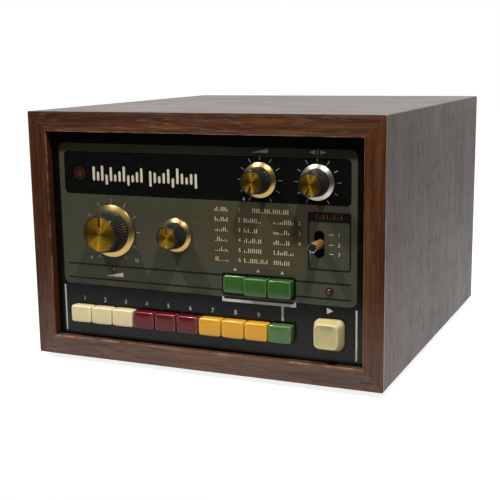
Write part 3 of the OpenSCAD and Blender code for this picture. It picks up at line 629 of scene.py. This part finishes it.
def lathe(profile, steps, flutes=0, depth=0.0):
    """Turns (radius, height) points in mm round local z.

    A third number from 0 to 1 says how deep the flutes are at a point. The outline ends on the axis at both
    ends, or closes on itself.
    """
    bm = bmesh.new()
    rub = bm.verts.layers.float.new("rub")
    rings = []
    for r, h, *fluting in profile:
        f = fluting[0] if fluting else 0
        if r < 1e-6:
            rings.append([bm.verts.new((0, 0, h * MM))])
            continue
        ring = []
        for i in range(steps):
            a = 2 * math.pi * i / steps
            cut = 0.0
            if flutes and f:
                w = 0.5 + 0.5 * math.cos(flutes * a)
                cut = depth * f * w ** 1.3
            ring.append(bm.verts.new(((r - cut) * MM * math.cos(a), (r - cut) * MM * math.sin(a), h * MM)))
            # Flute crests get rub, so they are painted lighter: partly wear, partly painted highlight on the
            # ridges
            if flutes and f:
                ring[-1][rub] = f * max(0.0, 1 - 5 * w)
        rings.append(ring)
    if len(rings[0]) > 1 and len(rings[-1]) > 1:
        rings.append(rings[0])
    for lo, hi in zip(rings, rings[1:]):
        n = max(len(lo), len(hi))
        for i in range(n):
            j = (i + 1) % n
            if len(lo) == 1:
                bm.faces.new((lo[0], hi[j], hi[i]))
            elif len(hi) == 1:
                bm.faces.new((lo[i], lo[j], hi[0]))
            else:
                bm.faces.new((lo[i], lo[j], hi[j], hi[i]))
    bmesh.ops.recalc_face_normals(bm, faces=bm.faces)
    return to_mesh(bm, "lathe")


FLUTE_DEPTH, GRIP_FOOT, BORE_R = 0.65, 3.2, 6.6


def make_knob(name, body, centre, sizes, angle, look):
    """A fluted black grip, a spun metal skirt and a spun disc with its pointer notch.

    sizes are the radii of the skirt, of the grip's foot and of its top, the height, the number of flutes and
    the notch's width. angle is the pointer's, in degrees clockwise from straight up.
    """
    skirt_r, base_r, top_r, height, flutes, notch_w = sizes
    facing = outwards(*centre)
    pointing = facing @ Matrix.Rotation(-math.radians(angle), 4, "Z")
    seat, face = height - 0.75, height - 0.2
    disc_r = top_r - 0.95

    def side(t, f=0):
        return (base_r + (top_r - base_r) * t, GRIP_FOOT + (height - GRIP_FOOT) * t, f)
    grip = [(0, seat - 1.0), (BORE_R, seat - 1.0), (BORE_R + 0.2, GRIP_FOOT + 0.05),
            (base_r - 0.2, GRIP_FOOT + 0.05), (base_r, GRIP_FOOT + 0.2), side(0.06), side(0.1, 0.9)]
    grip += [side(0.1 + 0.78 * i / 6, 1.0) for i in range(1, 7)]
    grip += [side(0.92, 0.7), side(0.955), (top_r - 0.12, height - 0.18), (top_r - 0.35, height - 0.02),
             (top_r - 0.6, height), (disc_r + 0.12, height), (disc_r + 0.02, height - 0.08), (disc_r, seat),
             (0, seat)]
    fluted = lathe(grip, flutes * 10, flutes, FLUTE_DEPTH)
    add(name + "_grip", fluted, "grip", facing, body, name)

    rim_r, low, high, steps = skirt_r - 0.3, 1.55, 3.15, 6
    skirt = [(base_r - 1.0, 2.4), (skirt_r - 1.1, 0.8), (skirt_r - 0.25, 0.8), (skirt_r - 0.05, 0.9),
             (skirt_r, 1.05), (skirt_r, 1.3), (skirt_r - 0.08, 1.45), (rim_r, low)]
    for i in range(1, steps + 1):
        t = i / steps
        skirt.append((rim_r - (rim_r - base_r) * t, low + (high - low) * t ** 0.85))
    skirt.append((base_r - 0.8, 3.18))
    add(name + "_skirt", lathe(skirt, 128), look, facing, body, name + "_trim")

    notch_end, half_w = disc_r * 0.42, notch_w / 2
    spread = math.asin(half_w / disc_r)
    outline = []
    for i in range(97):
        t = spread + (2 * math.pi - 2 * spread) * i / 96
        outline.append((disc_r * math.sin(t), disc_r * math.cos(t)))
    for i in range(9):
        t = math.pi * i / 8
        outline.append((-half_w * math.cos(t), notch_end - half_w * math.sin(t) * 0.8))
    add(name + "_disc", plate_mesh([outline], seat + 0.02, face), "gold_disc", pointing, body,
        smooth=False)
    floor = box_loop(-half_w - 0.05, notch_end - 0.4, half_w + 0.05, disc_r - 0.05)
    add(name + "_notch", plate_mesh([floor], seat + 0.01, seat + 0.12), "ink", pointing, body,
        smooth=False)


def rounded_rings(rings, n=7, crown=0.0):
    """A solid from rounded rectangles (half width, half height, corner radius, height, rub) in mm.

    rub, from 0 to 1, marks how much a ring is painted lighter, partly for wear and partly as painted
    highlight on its rims, and is kept in the mesh for the material; below 0 it keeps the corners unpainted
    too. crown draws the corners in by so much, so that the sides bulge.
    """
    bm = bmesh.new()
    rub = bm.verts.layers.float.new("rub")
    rows = []
    for w, h, r, z, wear_and_highlight in rings:
        pts = box_loop(-w, -h, w, h, r, n, 4 if crown else 1)
        pts = [(x * (1 - crown / w * (y / h) ** 2), y * (1 - crown / h * (x / w) ** 2)) for x, y in pts]
        row = [bm.verts.new((x * MM, y * MM, z * MM)) for x, y in pts]
        each = len(row) // 4
        for i, v in enumerate(row):
            turn = min(1.0, (i % each) / n)
            corner = 0.7 * math.sin(math.pi * turn) if wear_and_highlight >= 0 else 0.0
            v[rub] = max(wear_and_highlight, corner)
        rows.append(row)
    for lo, hi in zip(rows, rows[1:]):
        k = len(lo)
        for i in range(k):
            bm.faces.new((lo[i], lo[(i + 1) % k], hi[(i + 1) % k], hi[i]))
    bm.faces.new(rows[-1])
    bm.faces.new(list(reversed(rows[0])))
    bmesh.ops.recalc_face_normals(bm, faces=bm.faces)
    return bm


def rod_mesh(w, h, z0, z1):
    """A straight rod w wide and h high, with its end at z0 rounded."""
    return to_mesh(rounded_rings([(w / 2 - 0.1, h / 2 - 0.1, 0.3, z0, 0), (w / 2, h / 2, 0.4, z0 + 0.2, 0),
                                  (w / 2, h / 2, 0.4, z1, 0)], 3), "rod")


# How far the faces bulge and the sides bow, the rounding between them, and a cap's depth, in mm
PILLOW, CROWN, EDGE_WIDTH, EDGE_DROP, CAP_DEPTH = 0.19, 0.22, 1.15, 1.05, 10.0
PLUNGER_W, PLUNGER_H = 4, 3


def cap_rings(node):
    """Outline of a pillowed cap from its skirt to the middle of its face, as large as the node's."""
    low, high = box(node)
    hw, hh = (high[0] - low[0]) / 2, (high[2] - low[2]) / 2
    front = PANEL_Y - low[1]
    back = front - CAP_DEPTH
    rings = [(hw - 0.35, hh - 0.35, 0.5, back, 0), (hw - 0.12, hh - 0.12, 0.7, back + 0.1, 0),
             (hw, hh, 0.8, back + 0.5, 0), (hw, hh, 0.9, front - EDGE_DROP - 0.5, 0)]
    # Rub peaks mid-bevel, where the cap's rim is painted lighter: partly wear, partly painted highlight
    for i in range(9):
        a = math.radians(90 * i / 8)
        inset = EDGE_WIDTH * (1 - math.cos(a))
        rings.append((hw - inset, hh - inset, max(0.7, 1.3 - 0.6 * inset),
                      front - PILLOW - EDGE_DROP * (1 - math.sin(a)), math.sin(a * 2) ** 2))
    for inset, rise in ((1.5, 0.16), (2.4, 0.5), (3.2, 0.73), (4.0, 0.89), (5.4, 1.0)):
        rings.append((hw - inset, hh - inset, max(0.35, 0.8 - 0.1 * inset), front - PILLOW * (1 - rise), -1))
    return rings


def press_piece(name, node, body, look, rings):
    """A button cap with its plunger behind, in the place of a node."""
    facing = outwards(*middle(node))
    tail = PANEL_Y - box(node)[1][1]
    add(name, to_mesh(rounded_rings(rings, crown=CROWN), name), look, facing, body, node)
    rod = rod_mesh(PLUNGER_W, PLUNGER_H, tail, rings[0][3] + 1.0)
    add(name + "_plunger", rod, "ivory", facing, body, node)


for i in range(1, 11):
    look = ("cream", "maroon", "amber", "green")[(i - 1) // 3]
    node = f"rhythm_button_{i}"
    press_piece(f"rhythm_cap_{i}", node, f"rhythm_key_{i}", look, cap_rings(node))
for i in range(1, 4):
    node = f"variation_button_{i}"
    press_piece(f"variation_cap_{i}", node, f"variation_key_{i}", "green_upper",
                cap_rings(node))

# The start cap: a straight foot, sloping sides, a rim painted lighter as wear and painted highlight, and a
# hollow face
start_rings = [(w, w, r, h, wear_and_highlight) for w, r, h, wear_and_highlight in (
    (10.1, 3.4, -3.2, 0), (10.4, 3.7, -3.0, 0), (10.5, 3.9, -2.6, 0), (10.5, 3.9, 1.8, 0),
    (10.42, 3.9, 2.5, 0.1), (10.2, 3.8, 3.2, 0.1), (9.6, 3.6, 4.9, 0), (8.9, 3.3, 7.0, 0.1),
    (8.65, 3.2, 7.7, 0.5), (8.4, 3.1, 8.15, 0.9), (8.1, 3.0, 8.4, 1), (7.8, 2.9, 8.5, 0.9),
    (7.5, 2.8, 8.46, 0.5), (7.1, 2.6, 8.34, -1), (6.3, 2.3, 8.12, -1), (4.8, 1.9, 7.86, -1),
    (2.8, 1.2, 7.7, -1), (0.9, 0.4, 7.66, -1))]
press_piece("start_cap", "start_button", "start_key", "start", start_rings)

# The lever: a tan sleeve with a bright ring and a black end, on a hub with its pin
SLEEVE_FOOT = PANEL_Y - HINGE[1]
lever_parts = (
    ("lever_sleeve", "tan", [(2.0, SLEEVE_FOOT), (3.1, SLEEVE_FOOT), (3.1, 13.1), (3.06, 13.3),
                             (2.9, 13.35)]),
    ("lever_ring", "chrome", [(2.9, 13.25), (3.05, 13.3), (3.1, 13.45), (3.08, 13.8), (2.98, 13.96),
                              (2.84, 14.0), (2.74, 13.92), (2.7, 13.4)]),
    ("lever_end", "black_plastic", [(0, 13.45), (2.75, 13.45), (2.68, 13.6), (2.3, 13.72), (1.4, 13.79),
                                    (0, 13.82)]),
)
for name, look, profile in lever_parts:
    add(name, lathe(profile, 48), look, outwards(*LEVER), "lever", "pattern_lever")
hub = [(0, -6.5), (1.4, -6.5), (1.5, -6.4), (1.5, -4.0), (3.3, -4.0), (3.6, -3.7), (3.6, 3.7), (3.3, 4.0),
       (1.5, 4.0), (1.5, 6.4), (1.4, 6.5), (0, 6.5)]
sideways = Matrix.Translation([v * MM for v in HINGE]) @ Matrix.Rotation(math.pi / 2, 4, "Y")
add("lever_hub", lathe(hub, 48), "steel", sideways, "lever", "pattern_lever", smooth=False)

bezel = [(2.06, 0.0), (2.75, 0.0), (2.75, 0.2), (2.6, 0.38), (2.25, 0.4), (2.06, 0.3)]
add("lamp_bezel", lathe(bezel, 48), "black_plastic", outwards(*LAMP), "housing")


# ---------------------------------------------------------------- printing on the panel
# Heights here are above the cabinet's underside.

def at(x, z):
    """A control's centre in the printing's own heights."""
    return (x, z - FOOT_H)


FIELD_X, FIELD_LOW, FIELD_HIGH = 113.4, 53.9, 157.7
BAND_X, BAND_LOW, BAND_HIGH = 109.3, 121.0, 151.9
# Black frames round the variation row and the lever: corners, and the lever's with their rounding
FRAME_LOW, FRAME_HIGH = (15.9, 55.3), (70.8, 71.0)
LEVER_FRAME, LEVER_WINDOW = (79.2, 77.4, BAND_X, 116.6, 2.0), (80.3, 78.5, 108.2, 109.9, 1.2)
# The panel's openings: the room round the buttons, half of the lever's slot, and radii
BUTTON_GAP, SLOT_HALF_W, SLOT_HALF_H, BUSH_ROOM_R, LAMP_HOLE_R = 0.6, 3.6, 9.2, 7.0, 2.1
# The printing stops short of the openings by this much
EASE = 0.02
row_low, row_high = box("variation_button_1")[0], box("variation_button_3")[1]
room = BUTTON_GAP + EASE
row_hole = box_loop(row_low[0] - room, row_low[2] - FOOT_H - room,
                    row_high[0] + room, row_high[2] - FOOT_H + room)
slot_x, slot_z = at(*LEVER)
half_w, half_h = SLOT_HALF_W + EASE, SLOT_HALF_H + EASE
slot_hole = box_loop(slot_x - half_w, slot_z - half_h, slot_x + half_w, slot_z + half_h, SLOT_HALF_W, 12)

field = Print("print_field", "field", 0.02, 0.06)
field.shape(box_loop(-FIELD_X, FIELD_LOW, FIELD_X, FIELD_HIGH, 5.0, 10),
            box_loop(-BAND_X, BAND_LOW, BAND_X, BAND_HIGH, 3.4, 8), row_hole, slot_hole,
            circle_loop(*at(*TEMPO), BUSH_ROOM_R), circle_loop(*at(*SELECTOR), BUSH_ROOM_R),
            circle_loop(*at(*LAMP), LAMP_HOLE_R + EASE))
field.done()

ink = Print("print_black", "ink", 0.06, 0.09)
ink.shape(box_loop(*FRAME_LOW, *FRAME_HIGH, 2.0), row_hole)
for z in (69.0, 58.5):
    ink.shape(bar_loop(-BAND_X, z, FRAME_LOW[0], z, 1.15))
    ink.shape(bar_loop(FRAME_HIGH[0], z, BAND_X, z, 1.15))
ink.shape(box_loop(*LEVER_FRAME), box_loop(*LEVER_WINDOW))
ink.done()

# The table has a slightly browner ground, and six thin gold lines run to its rows from the selector's steps
ROW_TOP, ROW_PITCH, RULE_DROP = 115.1, 6.95, 3.6
TABLE_X0, TABLE_X1 = 3.5, 77.2
ground = Print("print_ground", "ground", 0.055, 0.07)
ground.shape(box_loop(TABLE_X0, 76.6, TABLE_X1, 118.0, 1.5))
ground.done()
rules = Print("print_rules", "gold_ink", 0.06, 0.085)
RULES_FROM = (-14.9, -8.1, -4.3, -4.3, -4.3, -5.8)
HALF_THICK, HALF_THIN = 0.8, 0.45
for i, x0 in enumerate(RULES_FROM):
    z = ROW_TOP - ROW_PITCH * i - RULE_DROP
    rules.shape(box_loop(x0, z - HALF_THICK, TABLE_X0 - 0.1, z + HALF_THICK),
                box_loop(TABLE_X0, z - HALF_THIN, TABLE_X1 - 0.4, z + HALF_THIN))
# The first rule turns down at its left end
rules.shape(box_loop(RULES_FROM[0], ROW_TOP - RULE_DROP - 6.2, RULES_FROM[0] + 1.5,
                     ROW_TOP - RULE_DROP - 0.9))
rules.done()

white = Print("print_white", "white")
for x in (-113.3, 113.3):
    white.shape(bar_loop(x, 17.5, x, 52.2, 1.2))
# A bracket under the variation row, with a stem towards the last rhythm button
ARM_W, RAIL_LOW, RAIL_HIGH = 1.4, 50.5, 52.5
STEM_LEFT, STEM_RIGHT, STEM_LOW = 60.1, 61.9, 40.4
out_left, out_right = FRAME_LOW[0], FRAME_HIGH[0]
in_left, in_right = out_left + ARM_W, out_right - ARM_W
white.shape([(out_left, FIELD_LOW), (out_left, RAIL_LOW), (STEM_LEFT, RAIL_LOW), (STEM_LEFT, STEM_LOW),
             (STEM_RIGHT, STEM_LOW), (STEM_RIGHT, RAIL_LOW), (out_right, RAIL_LOW), (out_right, FIELD_LOW),
             (in_right, FIELD_LOW), (in_right, RAIL_HIGH), (in_left, RAIL_HIGH), (in_left, FIELD_LOW)])

# Dial marks: their inner and outer radii and their width
LARGE_MARKS, SMALL_MARKS = (20.1, 23.4, 0.42), (13.3, 16.3, 0.27)
grey = Print("print_grey", "grey_ink")
for centre, (r0, r1, width) in ((TEMPO, LARGE_MARKS), (VOLUME, SMALL_MARKS), (BALANCE, SMALL_MARKS)):
    cx, cz = at(*centre)
    for angle in range(-150, 151, 30):
        dx, dz = math.sin(math.radians(angle)), math.cos(math.radians(angle))
        grey.shape(bar_loop(cx + r0 * dx, cz + r0 * dz, cx + r1 * dx, cz + r1 * dz, width))
grey.done()


def triangle(printing, x, z, w, h, turn=0):
    t = math.radians(turn)
    pts = [(-w / 2, -h / 2), (w / 2, -h / 2), (0, h / 2)]
    cos, sin = math.cos(t), math.sin(t)
    printing.shape([(x + a * cos - b * sin, z + a * sin + b * cos) for a, b in pts])


for x in (26.0, 43.2, 60.9):
    triangle(white, x, 73.9, 2.4, 2.1)
triangle(white, -70.6, 66.9, 1.6, 1.5)
triangle(white, 94.9, 50.3, 4.2, 4.4, -90)
for i in range(1, 10):
    white.text(str(i), middle(f"rhythm_button_{i}")[0], 42.9, 4.6)
white.text("0", -89.2, 74.2, 3.4)
white.text("10", -51.6, 74.3, 3.4)
white.text("0", 33.4, 122.8, 3.2)
white.done()

table = Print("print_table", "table_ink")
rnd = random.Random(7)
STEP_TALL, STEP_SHORT, STEP_DOT, STEP_PITCH, STEP_W = 3.0, 1.65, 0.7, 1.5, 0.6


def steps(x0, x1, z):
    """A strip of step marks: tall bars, short bars and dots, of no meaning."""
    x, half_w = x0 + STEP_W / 2, STEP_W / 2
    while x <= x1 - half_w + 1e-6:
        h = rnd.choice((STEP_TALL, STEP_TALL, STEP_SHORT, STEP_DOT))
        table.shape(box_loop(x - half_w, z - STEP_TALL / 2, x + half_w, z - STEP_TALL / 2 + h))
        x += STEP_PITCH


# Where the columns start, and where each row's marks end in two of them; the first row has one wide strip
LEFT_X, NUMBER_X, MIDDLE_X, RIGHT_X, SECOND_NUMBER_X = 11.4, 29.7, 33.1, 54.9, 73.4
LEFT_END, WIDE_STRIP = 22.1, (39.5, 66.5)
MIDDLE_ENDS = (None, 47.0, 44.0, 46.0, 46.0, 51.0)
RIGHT_ENDS = (None, 69.5, 66.5, 66.5, 69.0, 66.5)
for i in range(6):
    z = ROW_TOP - ROW_PITCH * i
    steps(LEFT_X, LEFT_END, z)
    table.text(str(i + 1), NUMBER_X, z, 3.8)
    if i:
        steps(MIDDLE_X, MIDDLE_ENDS[i], z)
        steps(RIGHT_X, RIGHT_ENDS[i], z)
    else:
        steps(*WIDE_STRIP, z)
    if i in (1, 2, 3):
        table.text(str(i + 1), SECOND_NUMBER_X, z, 3.8)
for i, z in enumerate((101.7, 94.9, 88.8)):
    table.shape(bar_loop(94.2, z, 97.2, z, 0.45))
    table.text(str(i + 1), 101.0, z, 3.6)
table.done()

cream = Print("print_cream", "cream_ink")
# A wedge below the tempo knob, and wedges above the upper two
cream.shape([(-77.0, 61.4), (-63.0, 61.4), (-63.0, 64.6)])
cream.shape([(39.3, 154.3), (51.3, 154.3), (51.3, 157.0)])
triangle(cream, 82.3, 155.6, 2.8, 4.4, 90)
triangle(cream, 90.3, 155.6, 2.8, 4.4, -90)
cream.shape(bar_loop(86.3, 154.0, 86.3, 157.2, 0.7))
# A row of rounded bars in the place of the title: their heights, with a gap at 0; some hang lower
TITLE = (10.2, 6.6, 11.0, 7.4, 10.2, 5.0, 7.4, 11.0, 7.4, 5.0, 7.4, 10.2, 0,
         11.0, 7.4, 5.0, 7.4, 10.2, 6.6, 11.0, 7.4, 5.0, 7.4, 10.2)
TITLE_X, TITLE_PITCH, TITLE_Z, TITLE_HANG, TITLE_HALF_W = -84.4, 3.56, 130.9, 2.6, 0.95
for i, tall in enumerate(TITLE):
    if tall:
        x = TITLE_X + TITLE_PITCH * i
        low = TITLE_Z - (TITLE_HANG if i % 5 == 3 else 0)
        cream.shape(box_loop(x - TITLE_HALF_W, low, x + TITLE_HALF_W, low + tall, TITLE_HALF_W - 0.01, 4))
cream.done()

spot = Print("print_spot", "spot_ink")
SPOT = (-96.2, 135.9)
spot.shape(circle_loop(*SPOT, 4.4, 40), circle_loop(*SPOT, 3.5, 40))
spot.shape(circle_loop(*SPOT, 2.5, 40))
spot.done()

# A row of bars above the lever, in the place of a word
BARS_X, BARS_Z, BAR_W, BAR_PITCH = 84.9, 111.6, 1.1, 2.45
orange = Print("print_orange", "orange_ink")
for i, tall in enumerate((3.2, 1.9, 3.2, 3.2, 1.9, 3.2, 1.9, 3.2)):
    x = BARS_X + BAR_PITCH * i
    orange.shape(box_loop(x, BARS_Z, x + BAR_W, BARS_Z + tall))
orange.done()

LARGE = (19.0, 15.4, 13.3, 17.3, 48, 1.5)
SMALL = (12.0, 9.4, 8.1, 15.0, 40, 1.1)
for name, centre, sizes, angle, plating in (
        ("tempo", TEMPO, LARGE, 0, "gold"), ("selector", SELECTOR, SMALL, 0, "gold"),
        ("volume", VOLUME, SMALL, -165, "gold"), ("balance", BALANCE, SMALL, -156, "silver")):
    make_knob(name + "_knob", name + "_control", centre, sizes, angle, plating + "_skirt")


# ---------------------------------------------------------------- stage, light and camera

FLOOR_HALF_W, FLOOR_FRONT, FLOOR_BACK = 2.5, -0.315, 3.0
floor_look = Shade("floor", Base_Color=(0.45, 0.45, 0.45, 1), Roughness=0.8, Specular_IOR_Level=0.1)
ray = floor_look.node("ShaderNodeLightPath").outputs
mirrored = floor_look.math("MAXIMUM", ray["Is Glossy Ray"], ray["Is Transmission Ray"])
# The camera sees a bright floor and reflections a dimmer one, but for a strip close to the right side
beside = floor_look.axes()[0]
near_side = floor_look.math("MULTIPLY", floor_look.span(beside, 0.17, 0.34, 0.4, 0.0),
                            floor_look.math("GREATER_THAN", beside, SIDE_OUT * MM))
mirrored = floor_look.math("MULTIPLY", mirrored, floor_look.math("ADD", near_side, 0.6))
glow = floor_look.math("MULTIPLY_ADD", ray["Is Camera Ray"], 0.85, mirrored)
floor_look.set(Emission_Color=(1, 1, 1, 1), Emission_Strength=glow)
half_d = (FLOOR_BACK - FLOOR_FRONT) / 2
floor_mesh = bpy.data.meshes.new("floor")
floor_mesh.from_pydata([(-FLOOR_HALF_W, -half_d, 0), (FLOOR_HALF_W, -half_d, 0), (FLOOR_HALF_W, half_d, 0),
                        (-FLOOR_HALF_W, half_d, 0)], [], [(0, 1, 2, 3)])
floor = object_of("floor", floor_mesh, floor_look.mat)
floor.location = (0, (FLOOR_BACK + FLOOR_FRONT) / 2, 0)

world = bpy.data.worlds.new("world")
bpy.context.scene.world = world
world.use_nodes = True
wt = world.node_tree
wt.nodes.clear()


def wn(kind, **inputs):
    n = wt.nodes.new(kind)
    for k, v in inputs.items():
        feed(wt, n.inputs[k.replace("_", " ")], v)
    return n


def w_choose(fac, low, high):
    n = wn("ShaderNodeMix", Factor=fac)
    feed(wt, n.inputs[2], low)
    feed(wt, n.inputs[3], high)
    return n.outputs[0]


def w_toward_back(low, high):
    """The room's brightness by direction: dark where the camera stands, white behind the object."""
    return wn("ShaderNodeMapRange", Value=w_axes["Y"], From_Min=-0.35, From_Max=0.45, To_Min=low,
              To_Max=high).outputs[0]


# The lamps' room is dim; the camera sees white, and so do metal and glass wherever they mirror the backdrop.
w_axes = wn("ShaderNodeSeparateXYZ", Vector=wn("ShaderNodeTexCoord").outputs["Generated"]).outputs
w_ray = wn("ShaderNodeLightPath").outputs
w_mirror = w_choose(w_ray["Is Transmission Ray"], w_ray["Is Glossy Ray"], 1.0)
w_strength = w_choose(w_mirror, w_toward_back(0.03, 0.7), w_toward_back(0.03, 1.0))
w_strength = w_choose(w_ray["Is Camera Ray"], w_strength, 1.0)
backdrop = wn("ShaderNodeBackground", Color=(1, 1, 1, 1), Strength=w_strength)
wn("ShaderNodeOutputWorld", Surface=backdrop.outputs[0])


def area(name, place, size, power, colour):
    """A rectangular lamp, aimed at the object."""
    data = bpy.data.lights.new(name, "AREA")
    data.shape = "RECTANGLE"
    data.size, data.size_y = size
    data.energy = power
    data.color = colour
    o = bpy.data.objects.new(name, data)
    bpy.context.scene.collection.objects.link(o)
    o.location = place
    o.rotation_mode = "QUATERNION"
    o.rotation_quaternion = (Vector(LAMP_AIM) - Vector(place)).to_track_quat("-Z", "Y")


LAMP_AIM = (0, -0.1, 0.08)
for name, x in (("key_left", -0.35), ("key_right", 0.28)):
    area(name, (x, -0.42, 0.78), (0.045, 0.045), 5.4, (1, 0.985, 0.955))
area("fill_front", (-0.1, -1.7, 0.9), (1.6, 0.9), 1.2, (1, 0.99, 0.97))

CAM_AT, CAM_LENS, CAM_SENSOR = (0.30436, -0.74076, 0.22103), 71.731, 36.0
AZIMUTH, ELEVATION, ROLL = (math.radians(v) for v in (23.657, 10.981, -0.762))
cam_data = bpy.data.cameras.new("camera")
cam = bpy.data.objects.new("camera", cam_data)
bpy.context.scene.collection.objects.link(cam)
bpy.context.scene.camera = cam
cam_data.sensor_width = CAM_SENSOR
cam_data.lens = CAM_LENS
cam_data.clip_start, cam_data.clip_end = 0.02, 20.0
back = Vector((math.sin(AZIMUTH) * math.cos(ELEVATION), -math.cos(AZIMUTH) * math.cos(ELEVATION),
               math.sin(ELEVATION)))
right = Vector((0, 0, 1)).cross(back).normalized()
up = back.cross(right)
rolled_right = right * math.cos(ROLL) + up * math.sin(ROLL)
rolled_up = -right * math.sin(ROLL) + up * math.cos(ROLL)
cam.matrix_world = Matrix([*zip(rolled_right, rolled_up, back, CAM_AT), (0, 0, 0, 1)])

bpy.context.scene.view_settings.view_transform = "Standard"
